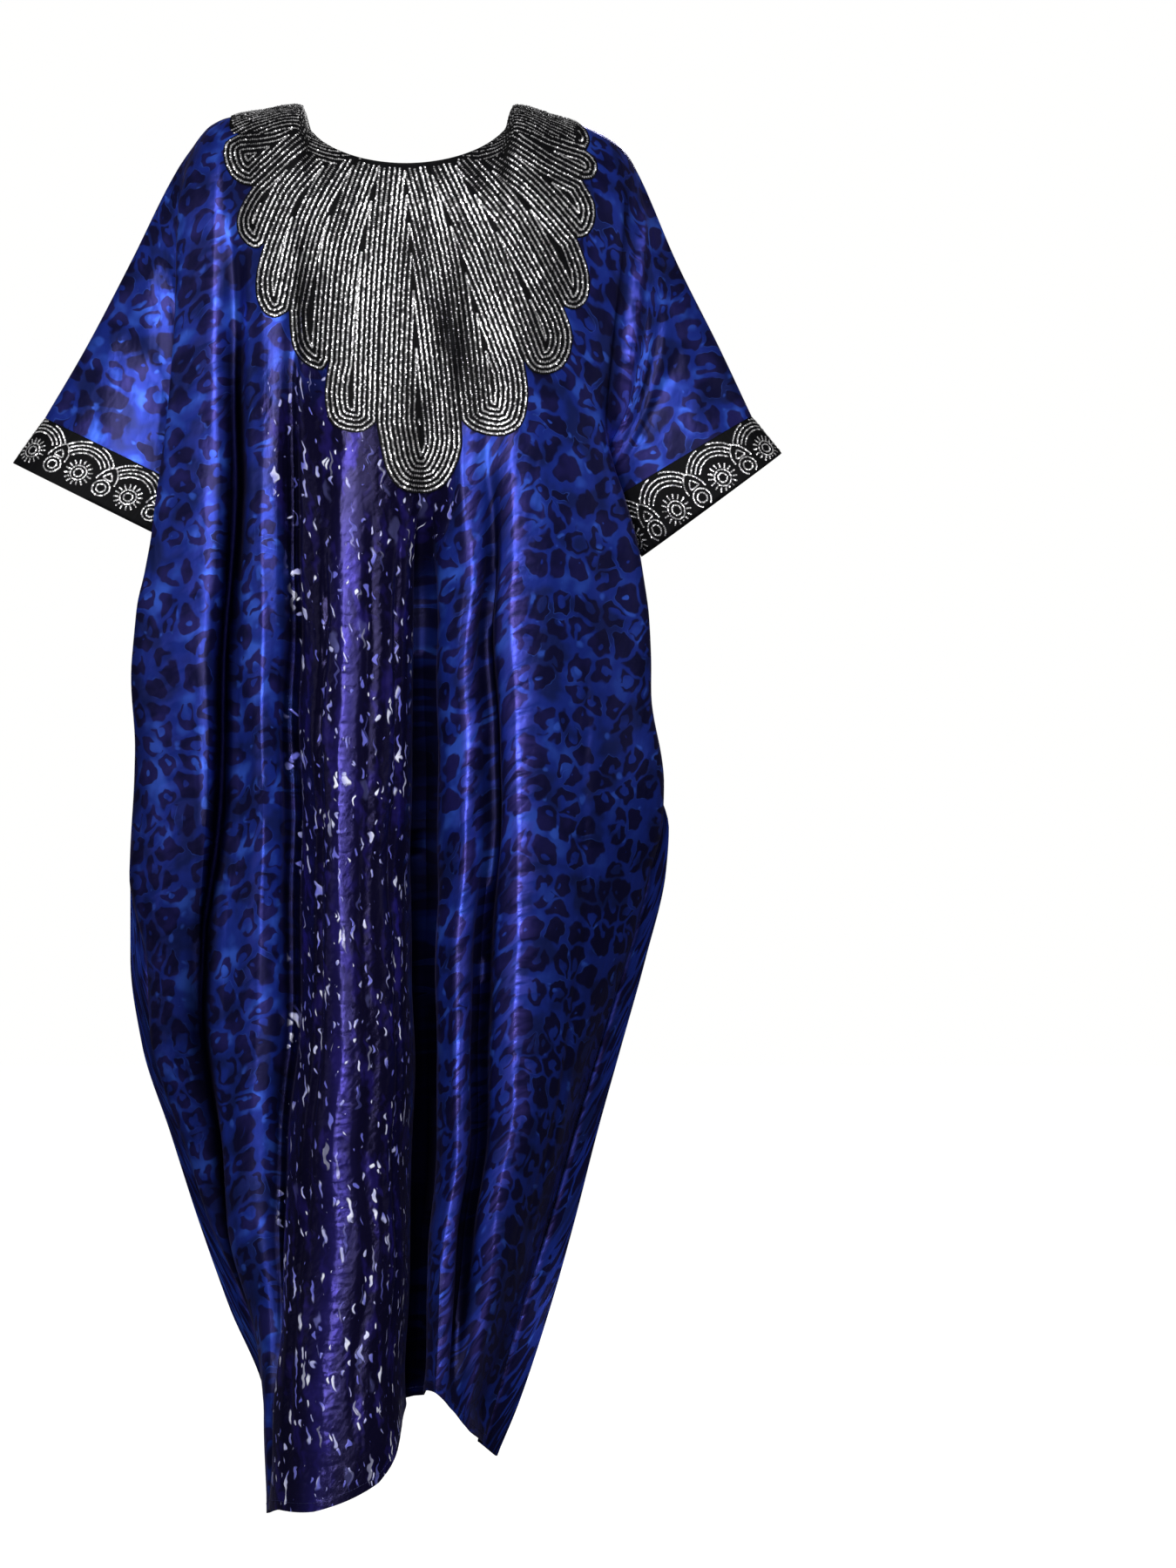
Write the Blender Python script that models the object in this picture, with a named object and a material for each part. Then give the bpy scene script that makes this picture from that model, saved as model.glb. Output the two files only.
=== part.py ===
"""Grand boubou robe, worn: a wide satin robe cut in one with its sleeves.

Metres, +Z up, the wearer faces -Y. The origin is the middle of the neck opening at the
height of the neck points, where the wearer's shoulders hold the robe. In the tables x is
sideways, y is front (-) to back (+), and drop is how far below the origin, all in mm.
"""

import bpy
import bmesh
import numpy as np

MM = 0.001
WALL = 1.2 * MM
SEAM_GAP = 0.3 * MM
BIB_WALL = 1.2 * MM
CUFF_WALL = 1.6 * MM
BINDING_RADIUS = 1.4 * MM
BINDING_GAP = 0.3 * MM
BINDING_SIDES = 8
SHARP_ANGLE = 50  # in degrees

NECK_HALF_WIDTH = 111
NECK_FRONT = (85, 68)  # how far the front neck edge comes forward, and how far it drops
NECK_BACK = (75, 60)
SHOULDER_ROUND = 130  # drop over which the cloth turns from the shoulder to the chest
UNDERARM_DROP = 410
FLANGE_WIDTH = 28
SLEEVE_HALF_DEPTH = 36
CUFF_SPREAD = 1.03
CUFF_TUCK = 3  # how far the cuff stops short of the flange at the underarm
MITER_LIMIT = 2.0

# Share of the way from the shoulder line to the underarm, one for each upper row.
UPPER_ROWS = (0, 0.012, 0.04, 0.09, 0.16, 0.25, 0.36, 0.49, 0.63, 0.77, 0.89, 0.96, 1)
LOWER_ROWS = 14

# Shoulder and sleeve line from the cuff to the neck: distance from the middle, drop.
RIDGE_LEFT = ((375, 322), (333, 250), (286, 160), (241, 70), (220, 39), (205, 21),
              (187, 12), (135, 3), (111, 0))
RIDGE_RIGHT = ((355, 320), (322, 250), (277, 160), (238, 70), (225, 48), (204, 30),
               (185, 21), (156, 12), (111, 0))

# Cuff line from its outer to its inner corner, and the cuff's open end: x, drop.
CUFF_LEFT = {"top": (-375, 322), "under": (-196, 410), "end_top": (-408, 368),
             "end_under": (-229, 457)}
CUFF_RIGHT = {"top": (355, 320), "under": (205, 410), "end_top": (386, 358),
              "end_under": (241, 465)}

# Where the sleeve tucks in behind the front side fold: drop, x, front y, back x, back y.
TUCK_LEFT = ((60, -238, 0, -238, 0), (115, -230, -28, -238, 28), (187, -212, -34, -236, 42),
             (300, -190, -20, -222, 40), (358, -178, -10, -198, 24), (410, -170, 0, -170, 0))
TUCK_RIGHT = ((75, 241, 0, 241, 0), (160, 248, -42, 246, 40), (250, 240, -52, 236, 46),
              (322, 222, -40, 212, 38), (366, 198, -22, 190, 22), (410, 172, 0, 172, 0))

# Side folds, from the shoulder to the hem: drop, front x, front y, back x, back y.
SIDE_LEFT = ((45, -221, -60, -221, 60), (115, -235, -60, -228, 62), (187, -237, -60, -228, 64),
             (300, -243, -66, -226, 66), (358, -250, -64, -236, 58), (410, -256, -60, -246, 52),
             (480, -266, -55, -254, 47), (520, -275, -50, -260, 42), (610, -283, -40, -268, 38),
             (700, -286, -30, -272, 34), (790, -290, -22, -270, 28), (880, -270, -12, -264, 20),
             (970, -261, -12, -256, 20), (1060, -233, -12, -228, 20), (1150, -200, -12, -195, 20),
             (1240, -166, -12, -160, 20), (1340, -141, -13, -136, 20), (1450, -138, -13, -134, 20))
SIDE_RIGHT = ((45, 220, -70, 220, 60), (160, 213, -75, 222, 64), (250, 204, -76, 214, 66),
              (322, 200, -72, 212, 60), (366, 210, -66, 216, 56), (410, 225, -60, 222, 50),
              (466, 240, -54, 228, 46), (520, 247, -48, 234, 42), (610, 251, -38, 240, 38),
              (700, 266, -28, 250, 32), (745, 264, -20, 254, 28), (790, 251, -14, 248, 24),
              (880, 226, -12, 222, 20), (970, 199, -12, 195, 20), (1060, 172, -12, 168, 20),
              (1150, 147, -12, 143, 20), (1240, 118, -12, 114, 20), (1340, 88, -12, 85, 20),
              (1395, 73, -12, 71, 20))

# Side seams below the underarm: drop, stitched line x, flange edge x.
SEAM_LEFT = ((410, -170, -196), (480, -176, -202), (520, -185, -210), (610, -218, -245),
             (700, -250, -277), (790, -263, -287), (880, -266, -287), (970, -258, -275),
             (1060, -230, -246), (1150, -197, -217), (1240, -163, -185), (1340, -138, -147),
             (1450, -135, -141))
SEAM_RIGHT = ((410, 172, 205), (480, 172, 200), (520, 180, 209), (610, 204, 231),
              (700, 231, 256), (745, 247, 269), (790, 245, 266), (880, 223, 245),
              (970, 197, 220), (1060, 170, 195), (1150, 145, 172), (1240, 116, 147),
              (1340, 86, 114), (1395, 70, 91))

# Lengthwise folds across the front. x at the top edge, then x and y at each level of drop,
# and the drop of the hem there.
LEVELS = (300, 480, 700, 900, 1150, 1340)
FRONT_FOLDS = (
    # name, top x, x at the levels, y at the levels, hem drop
    ("side ridge", -203, (-205, -205, -207, -218, -188, -143), (-84, -92, -90, -72, -38, -32), 1450),
    ("side valley", -178, (-178, -176, -175, -184, -176, -143), (-90, -92, -86, -80, -62, -52), 1448),
    ("middle ridge", -147, (-147, -147, -147, -150, -160, -142), (-108, -112, -114, -106, -82, -72), 1444),
    ("tube valley", -111, (-117, -115, -116, -116, -131, -139), (-112, -108, -98, -98, -92, -92), 1441),
    ("tube left", None, (-92, -92, -92, -92, -110, -126), (-122, -122, -124, -126, -126, -126), 1438),
    ("tube ridge", None, (-62, -66, -66, -66, -72, -90), (-132, -138, -144, -148, -153, -160), 1437),
    ("tube right", None, (-20, -22, -22, -22, -18, -29), (-130, -130, -130, -133, -138, -150), 1408),
    ("tube wall", None, (2, 2, 0, 0, 0, -5), (-127, -116, -102, -98, -98, -108), 1358),
    ("deep valley", None, (22, 18, 18, 18, 14, 9), (-122, -98, -72, -62, -58, -55), 1328),
    ("right ridge", None, (58, 58, 55, 50, 41, 32), (-127, -126, -122, -122, -122, -118), 1320),
    ("right valley", None, (84, 83, 83, 76, 66, 48), (-122, -116, -108, -106, -104, -100), 1338),
    ("bright ridge", 111, (110, 110, 110, 112, 96, 64), (-124, -128, -130, -128, -118, -78), 1362),
    ("flat inner", 147, (150, 163, 160, 158, 120, 71), (-108, -110, -108, -98, -88, -50), 1370),
    ("flat outer", 184, (182, 204, 210, 194, 138, 75), (-90, -84, -84, -60, -52, -26), 1376),
)
BACK_FOLDS = (
    ("side ridge", -203, (-205, -215, -235, -232, -180, -135), (84, 92, 92, 75, 62, 55), 1448),
    ("side valley", -178, (-178, -182, -192, -192, -160, -126), (92, 102, 114, 108, 96, 88), 1446),
    ("left ridge", -147, (-147, -147, -152, -152, -130, -106), (98, 112, 130, 130, 124, 118), 1440),
    ("left valley", -111, (-115, -113, -114, -114, -102, -86), (104, 106, 116, 114, 108, 100), 1425),
    ("back left", None, (-86, -84, -84, -84, -78, -67), (107, 114, 126, 126, 120, 113), 1400),
    ("middle left ridge", None, (-58, -56, -54, -54, -54, -47), (109, 121, 137, 139, 137, 130), 1372),
    ("middle valley", None, (-26, -24, -22, -24, -29, -29), (108, 111, 119, 118, 112, 104), 1342),
    ("middle ridge", None, (2, 2, 2, -2, -10, -14), (109, 117, 128, 128, 124, 118), 1328),
    ("right valley", None, (32, 30, 28, 22, 8, 2), (108, 111, 118, 116, 108, 100), 1322),
    ("middle right ridge", None, (62, 60, 58, 50, 28, 18), (108, 118, 131, 130, 124, 114), 1322),
    ("right dip", None, (86, 86, 86, 74, 48, 34), (106, 111, 120, 118, 108, 96), 1330),
    ("right ridge", 111, (112, 114, 116, 104, 70, 48), (103, 112, 124, 120, 104, 88), 1342),
    ("flat inner", 147, (148, 154, 160, 140, 96, 62), (96, 108, 118, 108, 90, 74), 1360),
    ("flat outer", 184, (180, 198, 210, 178, 122, 75), (84, 86, 94, 80, 60, 48), 1372),
)
HEM_LEFT = (1450, 1450)  # at the flange's free edge and at the stitched line
HEM_RIGHT = (1396, 1380)

# Columns of cloth in the sleeve, in the tuck, round the side fold and in each body strip.
SLEEVE_COLUMNS = 5
TUCK_COLUMNS = 3
TURN_COLUMNS = 3
BODY_COLUMNS = 2

# Scallops of the bib from the left shoulder to the right: points of the edge as (x, drop).
# Each scallop starts at its corner with the one before, and ends at the next one's corner.
BIB_SCALLOPS = (
    ((-182, 12), (-183, 22), (-179, 30)),
    ((-172, 33), (-186, 42), (-187, 60), (-180, 77), (-168, 87)),
    ((-156, 90), (-167, 107), (-173, 125), (-170, 140), (-159, 152), (-150, 154)),
    ((-144, 149), (-152, 178), (-152, 204), (-143, 221), (-132, 225)),
    ((-119, 218), (-116, 251), (-108, 267), (-96, 276), (-84, 279)),
    ((-77, 269), (-81, 293), (-81, 315), (-74, 334), (-58, 342), (-42, 342)),
    ((-29, 333), (-25, 356), (-19, 381), (-6, 399), (15, 404), (36, 399), (50, 381), (58, 356)),
    ((57, 330), (66, 339), (82, 345), (101, 346), (117, 337), (124, 318), (125, 293)),
    ((121, 270), (129, 280), (142, 283), (158, 277), (168, 261), (170, 239)),
    ((161, 213), (172, 216), (183, 209), (188, 194), (186, 172)),
    ((175, 143), (185, 140), (193, 125), (193, 106)),
    ((180, 82), (191, 80), (196, 68), (193, 58)),
    ((184, 50), (188, 40), (185, 28), (176, 18)),
)
BIB_STEPS = 2  # outline steps between two of those points
BIB_TOP = -60  # the outline closes above the shoulders, at this drop
BIB_DEPTHS = (-0.3, 0.03)  # from before the chest to behind the shoulder line, in metres

SATIN = (0.012, 0.03, 0.22, 1)
BLACK = (0.008, 0.008, 0.012, 1)


# Interpolation

def smooth_through(knots, values, at):
    """Curve through the values that never overshoots them, level past both ends."""
    knots = np.asarray(knots, float)
    values = np.asarray(values, float)
    step = np.diff(knots)
    slope = np.diff(values) / step
    tangent = np.zeros(len(values))
    same_way = slope[:-1] * slope[1:] > 0
    before = slope[:-1][same_way]
    after = slope[1:][same_way]
    tangent[1:-1][same_way] = 2 * before * after / (before + after)
    tangent[0] = slope[0]
    tangent[-1] = slope[-1]
    at = np.clip(np.asarray(at, float), knots[0], knots[-1])
    part = np.clip(np.searchsorted(knots, at, side="right") - 1, 0, len(step) - 1)
    width = step[part]
    t = (at - knots[part]) / width
    return (values[part] * (1 + 2 * t) * (1 - t) ** 2
            + values[part + 1] * t * t * (3 - 2 * t)
            + width * tangent[part] * t * (1 - t) ** 2
            - width * tangent[part + 1] * t * t * (1 - t))


def column(table, index, at):
    """One column of a table, read at the given drops."""
    rows = np.array(table, float)
    return smooth_through(rows[:, 0], rows[:, index], at)


def bend_through(points, counts):
    """Centripetal curve through the points, with the given number of steps in each gap."""
    points = np.asarray(points, float)
    padded = np.vstack((2 * points[0] - points[1], points, 2 * points[-1] - points[-2]))
    result = []
    for i, count in enumerate(counts):
        quad = padded[i:i + 4]
        gaps = np.sqrt(np.linalg.norm(np.diff(quad, axis=0), axis=1)) + 1e-6
        knot = np.concatenate(([0], np.cumsum(gaps)))
        for t in knot[1] + (knot[2] - knot[1]) * np.arange(count) / count:
            level = quad
            for order in range(1, 4):
                span = (knot[order:] - knot[:-order])[:, None]
                level = (level[:-1] * (knot[order:, None] - t)
                         + level[1:] * (t - knot[:-order, None])) / span
            result.append(level[0])
    result.append(points[-1])
    return np.array(result)


# Edges of the cut

def ridge_drop(x):
    """Drop of the shoulder and sleeve line at a place sideways."""
    table = np.array(RIDGE_LEFT if x < 0 else RIDGE_RIGHT, float)[::-1]
    return float(smooth_through(table[:, 0], table[:, 1], abs(x)))


def neck_point(share, front):
    """Point of the neck edge, from the left neck point (0) to the right one (1)."""
    angle = np.pi * share
    reach, drop = NECK_FRONT if front else NECK_BACK
    side = -1 if front else 1
    return (-NECK_HALF_WIDTH * np.cos(angle), side * reach * np.sin(angle), drop * np.sin(angle))


def rounding(below, openness):
    """How far the cloth has turned from the shoulder line to the chest, 0 to 1."""
    turn = 1 - (1 - np.clip(below / SHOULDER_ROUND, 0, 1)) ** 2
    return turn ** (0.5 + 0.5 * openness)


# Panels

def guide_lines(front):
    """The body's guides as (drops, x, y), from the left side fold to the right one."""
    folds = FRONT_FOLDS if front else BACK_FOLDS
    x_at = 1 if front else 3
    necks = [i for i, fold in enumerate(folds) if fold[1] is None]
    upper = np.array(UPPER_ROWS)
    lower = np.arange(1, LOWER_ROWS + 1) / LOWER_ROWS
    guides = []

    def drops_of(top, hem):
        return np.concatenate((top + (UNDERARM_DROP - top) * upper,
                               UNDERARM_DROP + (hem - UNDERARM_DROP) * lower))

    def side_guide(table, hem):
        top_x = table[0][1]
        top = ridge_drop(top_x)
        drops = drops_of(top, hem)
        x = column(table, x_at, drops)
        x[0] = top_x
        y = column(table, x_at + 1, drops) * rounding(drops - top, 0)
        return drops, x, y

    guides.append(side_guide(SIDE_LEFT, HEM_LEFT[1]))
    for i, (_, top_x, level_x, level_y, hem) in enumerate(folds):
        share = (i - necks[0] + 1) / (len(necks) + 1)
        if top_x is None:
            top_x, top_y, top = neck_point(share, front)
            openness = np.sin(np.pi * share)
        else:
            top_y = 0
            top = ridge_drop(top_x)
            openness = 0
        drops = drops_of(top, hem)
        x = smooth_through((top, *LEVELS), (top_x, *level_x), drops)
        chest = smooth_through(LEVELS, level_y, drops)
        y = top_y + (chest - top_y) * rounding(drops - top, openness)
        guides.append((drops, x, y))
    guides.append(side_guide(SIDE_RIGHT, HEM_RIGHT[1]))
    return guides


def flange(left):
    """Middle of the flange below the underarm: rows of columns of (x, y, drop) from its free
    edge to the stitched line, and for each row the way out of it and the way to its front."""
    table = SEAM_LEFT if left else SEAM_RIGHT
    hem = HEM_LEFT if left else HEM_RIGHT
    lower = np.arange(1, LOWER_ROWS + 1) / LOWER_ROWS
    drops = UNDERARM_DROP + (hem[1] - UNDERARM_DROP) * lower
    lower_edge = (hem[0] - hem[1]) * lower
    flat = np.zeros(LOWER_ROWS)
    stitched = np.stack((column(table, 1, drops), flat, drops), axis=1)
    across = column(table, 2, drops + lower_edge) - stitched[:, 0]
    turned_back = np.sqrt(np.maximum(FLANGE_WIDTH ** 2 - across ** 2, 0))
    away = np.stack((across, turned_back, lower_edge), axis=1)
    share = np.linspace(1, 0, SLEEVE_COLUMNS + 1)[:, None]
    middle = stitched[:, None] + away[:, None] * share
    away[:, 2] = 0
    away /= np.linalg.norm(away, axis=1, keepdims=True)
    toward_front = np.stack((np.sign(across) * away[:, 1], -np.abs(away[:, 0]), flat), axis=1)
    return middle, away, toward_front


def sleeve_patch(front, left):
    """The sleeve between its cuff line and the tuck, as rows of (x, y, drop) columns."""
    cuff = CUFF_LEFT if left else CUFF_RIGHT
    tuck = TUCK_LEFT if left else TUCK_RIGHT
    side = -1 if front else 1
    index = 1 if front else 3
    w = np.array(UPPER_ROWS)
    c = np.arange(SLEEVE_COLUMNS + 1) / SLEEVE_COLUMNS
    round_share = np.sqrt(np.maximum(1 - (2 * w - 1) ** 2, 0))
    top_corner = np.array(cuff["top"], float)
    under_corner = np.array(cuff["under"], float)
    cuff_line = top_corner + (under_corner - top_corner) * w[:, None]
    tuck_x = tuck[0][1]
    tuck_top = ridge_drop(tuck_x)
    tuck_drops = tuck_top + (UNDERARM_DROP - tuck_top) * w
    tuck_line = np.stack((column(tuck, index, tuck_drops), tuck_drops), axis=1)
    ridge_x = top_corner[0] + (tuck_x - top_corner[0]) * c
    ridge = np.array([(x, ridge_drop(x)) for x in ridge_x])
    under = under_corner + (tuck_line[-1] - under_corner) * c[:, None]
    rows = np.zeros((len(w), len(c), 3))
    for i, share in enumerate(w):
        for j, across in enumerate(c):
            corners = ((1 - share) * ((1 - across) * ridge[0] + across * ridge[-1])
                       + share * ((1 - across) * under[0] + across * under[-1]))
            place = ((1 - share) * ridge[j] + share * under[j]
                     + (1 - across) * cuff_line[i] + across * tuck_line[i] - corners)
            cuff_y = side * SLEEVE_HALF_DEPTH * round_share[i]
            tuck_y = float(column(tuck, index + 1, tuck_drops[i]))
            rows[i, j] = (place[0], (1 - across) * cuff_y + across * tuck_y, place[1])
    return rows


def panel_surface(front):
    """Outer face of a panel: rows from the shoulder to the hem of columns from left to right."""
    side = -1 if front else 1
    guides = guide_lines(front)
    sleeves = [sleeve_patch(front, True), sleeve_patch(front, False)]
    flanges = []
    for middle, _, toward_front in (flange(True), flange(False)):
        half_seam = -side * toward_front * (SEAM_GAP / 2 + WALL) / MM
        flanges.append(middle + half_seam[:, None])
    count = len(UPPER_ROWS) + LOWER_ROWS
    steps = ([TUCK_COLUMNS, TURN_COLUMNS] + [BODY_COLUMNS] * (len(guides) - 3)
             + [TURN_COLUMNS, TUCK_COLUMNS])
    rows = []
    for r in range(count):
        body = [(x[r], y[r], drops[r]) for drops, x, y in guides]
        if r < len(UPPER_ROWS):
            outer = [sleeves[0][r], sleeves[1][r][::-1]]
        else:
            below = r - len(UPPER_ROWS)
            outer = [flanges[0][below], flanges[1][below][::-1]]
        middle = bend_through([outer[0][-1]] + body + [outer[1][0]], steps)
        if r == 0:
            for point in middle:
                if abs(point[0]) > NECK_HALF_WIDTH:
                    point[1:] = (0, ridge_drop(point[0]))
        rows.append(np.vstack((outer[0][:-1], middle, outer[1][1:])))
    surface = np.array(rows)
    lift = np.full(surface.shape[:2], SEAM_GAP / 2 + WALL) / MM
    lift[0] = SEAM_GAP / 2 / MM
    seam = np.zeros(surface.shape[:2], bool)
    seam[len(UPPER_ROWS):, :SLEEVE_COLUMNS + 1] = True
    seam[len(UPPER_ROWS):, -SLEEVE_COLUMNS - 1:] = True
    surface[..., 1] = np.where(seam, surface[..., 1],
                               side * np.maximum(side * surface[..., 1], lift))
    points = np.stack((surface[..., 0], surface[..., 1], -surface[..., 2]), axis=-1) * MM
    return points


def grid_normals(points, front):
    """Outward normals of a grid, and how much a mitred corner lengthens the wall there."""
    a = points[1:, :-1] - points[:-1, 1:]
    b = points[1:, 1:] - points[:-1, :-1]
    face = np.cross(a, b)
    if not front:
        face = -face
    face /= np.linalg.norm(face, axis=-1, keepdims=True)
    total = np.zeros_like(points)
    for i in (0, 1):
        for j in (0, 1):
            total[i:len(points) - 1 + i, j:points.shape[1] - 1 + j] += face
    normal = total / np.linalg.norm(total, axis=-1, keepdims=True)
    least = np.ones(points.shape[:2])
    for i in (0, 1):
        for j in (0, 1):
            part = normal[i:len(points) - 1 + i, j:points.shape[1] - 1 + j]
            view = least[i:len(points) - 1 + i, j:points.shape[1] - 1 + j]
            np.minimum(view, (face * part).sum(-1), out=view)
    return normal, 1 / np.clip(least, 1 / MITER_LIMIT, 1)


def flatten_along(normal, axis):
    """The normal with its part along an axis taken out."""
    axis = np.asarray(axis, float)
    axis = axis / np.linalg.norm(axis)
    normal = normal - (normal @ axis)[..., None] * axis
    return normal / np.linalg.norm(normal, axis=-1, keepdims=True)


def cuff_axis(cuff):
    """Direction out of a sleeve, at right angles to its cuff line."""
    along = np.array(cuff["under"], float) - np.array(cuff["top"], float)
    axis = np.array((-along[1], 0, -abs(along[0])))
    if cuff is CUFF_RIGHT:
        axis[0] = along[1]
    return axis / np.linalg.norm(axis)


def panel_normals(points, front):
    """Normals that keep every seam edge square to its seam."""
    normal, miter = grid_normals(points, front)
    beyond_neck = np.abs(points[0, :, 0]) >= NECK_HALF_WIDTH * MM - 1e-6
    normal[0, beyond_neck] = flatten_along(normal[0, beyond_neck], (0, 1, 0))
    last = len(UPPER_ROWS)
    normal[:last, 0] = flatten_along(normal[:last, 0], cuff_axis(CUFF_LEFT))
    normal[:last, -1] = flatten_along(normal[:last, -1], cuff_axis(CUFF_RIGHT))
    return normal, miter


# Meshes

def add_object(name, vertices, faces, material):
    """Object from vertices and faces, with its faces turned outward."""
    mesh = bpy.data.meshes.new(name)
    mesh.from_pydata([tuple(v) for v in vertices], [], faces)
    shaped = bmesh.new()
    shaped.from_mesh(mesh)
    bmesh.ops.triangulate(shaped, faces=shaped.faces)
    bmesh.ops.recalc_face_normals(shaped, faces=shaped.faces)
    shaped.to_mesh(mesh)
    shaped.free()
    mesh.shade_smooth()
    mesh.set_sharp_from_angle(angle=np.radians(SHARP_ANGLE))
    mesh.materials.append(material)
    thing = bpy.data.objects.new(name, mesh)
    bpy.context.scene.collection.objects.link(thing)
    return thing


def wall_mesh(outer, inner):
    """Vertices and faces of a wall between two grids, closed round its four edges."""
    rows, columns = outer.shape[:2]
    size = rows * columns
    vertices = np.concatenate((outer.reshape(-1, 3), inner.reshape(-1, 3)))
    at = np.arange(size).reshape(rows, columns)
    faces = []
    for i in range(rows - 1):
        for j in range(columns - 1):
            corners = (at[i, j], at[i, j + 1], at[i + 1, j + 1], at[i + 1, j])
            for k in (1, 2):
                half = (corners[0], corners[k], corners[k + 1])
                faces.append(half)
                faces.append(tuple(size + v for v in half[::-1]))
    rim = (list(at[0, :-1]) + list(at[:-1, -1]) + list(at[-1, :0:-1]) + list(at[:0:-1, 0]))
    for here, there in zip(rim, rim[1:] + rim[:1]):
        faces.append((there, here, size + here, size + there))
    return vertices, [tuple(int(v) for v in face) for face in faces]


def ring_mesh(loops):
    """Vertices and faces of closed loops joined in turn, the last to the first."""
    count = len(loops[0])
    vertices = np.concatenate(loops)
    faces = []
    for k in range(len(loops)):
        other = (k + 1) % len(loops)
        for i in range(count):
            j = (i + 1) % count
            faces.append((k * count + i, k * count + j, other * count + j, other * count + i))
    return vertices, faces


def inner_face(points, front):
    """Inner face of a panel; in the flanges it keeps half the seam gap to the middle."""
    normal, miter = panel_normals(points, front)
    inner = points - normal * (WALL * miter)[..., None]
    side = -1 if front else 1
    for left in (True, False):
        middle, away, toward_front = flange(left)
        middle = np.stack((middle[..., 0], middle[..., 1], -middle[..., 2]), axis=-1) * MM
        face = middle - side * toward_front[:, None] * SEAM_GAP / 2
        face[:, -1] -= away * WALL * MITER_LIMIT
        if left:
            inner[len(UPPER_ROWS):, :SLEEVE_COLUMNS + 1] = face
        else:
            inner[len(UPPER_ROWS):, -SLEEVE_COLUMNS - 1:] = face[:, ::-1]
    return inner


def panel(name, front, material):
    """A front or back panel as a wall inside its outer face."""
    points = panel_surface(front)
    return add_object(name, *wall_mesh(points, inner_face(points, front)), material)


def cuff_band(name, cuff, left, material):
    """A cuff as a ring that carries on the sleeve's end."""
    front = panel_surface(True)[:len(UPPER_ROWS), 0 if left else -1]
    back = panel_surface(False)[:len(UPPER_ROWS), 0 if left else -1]
    start = np.concatenate((front, back[-2:0:-1]))
    start[0, 1] = 0
    start[len(front) - 1, 1] = 0
    outward = start[0] - start[len(front) - 1]
    start[len(front) - 1] += outward / np.linalg.norm(outward) * CUFF_TUCK * MM
    start = start + cuff_axis(cuff) * SEAM_GAP
    share = np.concatenate((UPPER_ROWS, UPPER_ROWS[-2:0:-1]))[:, None]
    top = np.array((cuff["end_top"][0], 0, -cuff["end_top"][1])) * MM
    under = np.array((cuff["end_under"][0], 0, -cuff["end_under"][1])) * MM
    end = top + (under - top) * share
    end[:, 1] = start[:, 1] * CUFF_SPREAD
    middle = (start + end) / 2
    outer = [start, middle, end]
    inner = []
    for loop in outer:
        along = np.roll(loop, -1, axis=0) - np.roll(loop, 1, axis=0)
        inward = np.cross(along, cuff_axis(cuff))
        inward /= np.linalg.norm(inward, axis=1, keepdims=True)
        centre = loop.mean(axis=0)
        if ((centre - loop) * inward).sum() < 0:
            inward = -inward
        inner.append(loop + inward * CUFF_WALL)
    return add_object(name, *ring_mesh(outer + inner[::-1]), material)


def neck_edge(front):
    """The neck edge from left to right with the outward normals of its panel."""
    points = panel_surface(front)
    normal, _ = panel_normals(points, front)
    inside = np.abs(points[0, :, 0]) <= NECK_HALF_WIDTH * MM + 1e-6
    return points[0, inside], normal[0, inside]


def neck_binding(material):
    """The round binding that closes the neck edge of both panels."""
    front, front_normal = neck_edge(True)
    back, back_normal = neck_edge(False)
    loop = np.concatenate((front, back[-2:0:-1]))
    normal = np.concatenate((front_normal, back_normal[-2:0:-1]))
    last = len(front) - 1
    for i in (0, last):
        loop[i, 1] = 0
        normal[i] = (0, 0, 1)
    along = np.roll(loop, -1, axis=0) - np.roll(loop, 1, axis=0)
    along /= np.linalg.norm(along, axis=1, keepdims=True)
    normal -= (normal * along).sum(1)[:, None] * along
    normal /= np.linalg.norm(normal, axis=1, keepdims=True)
    opening = np.cross(along, normal)
    opening *= np.sign((opening * (loop.mean(axis=0) - loop)).sum(1))[:, None]
    centre = loop + opening * (BINDING_RADIUS + BINDING_GAP)
    loops = []
    for angle in np.arange(BINDING_SIDES) * 2 * np.pi / BINDING_SIDES:
        loops.append(centre + (normal * np.sin(angle) + opening * np.cos(angle)) * BINDING_RADIUS)
    return add_object("neck_binding", *ring_mesh(loops), material)


def bib_outline():
    """Edge of the bib, from the left shoulder round to the right one, as (x, drop)."""
    starts = [scallop[0] for scallop in BIB_SCALLOPS[1:]]
    ends = starts + [None]
    outline = []
    for scallop, end in zip(BIB_SCALLOPS, ends):
        points = list(scallop)
        if end:
            points.append(end)
        bent = bend_through(points, [BIB_STEPS] * (len(points) - 1))
        outline.extend(bent[:-1] if end else bent)
    return np.array(outline)


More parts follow.
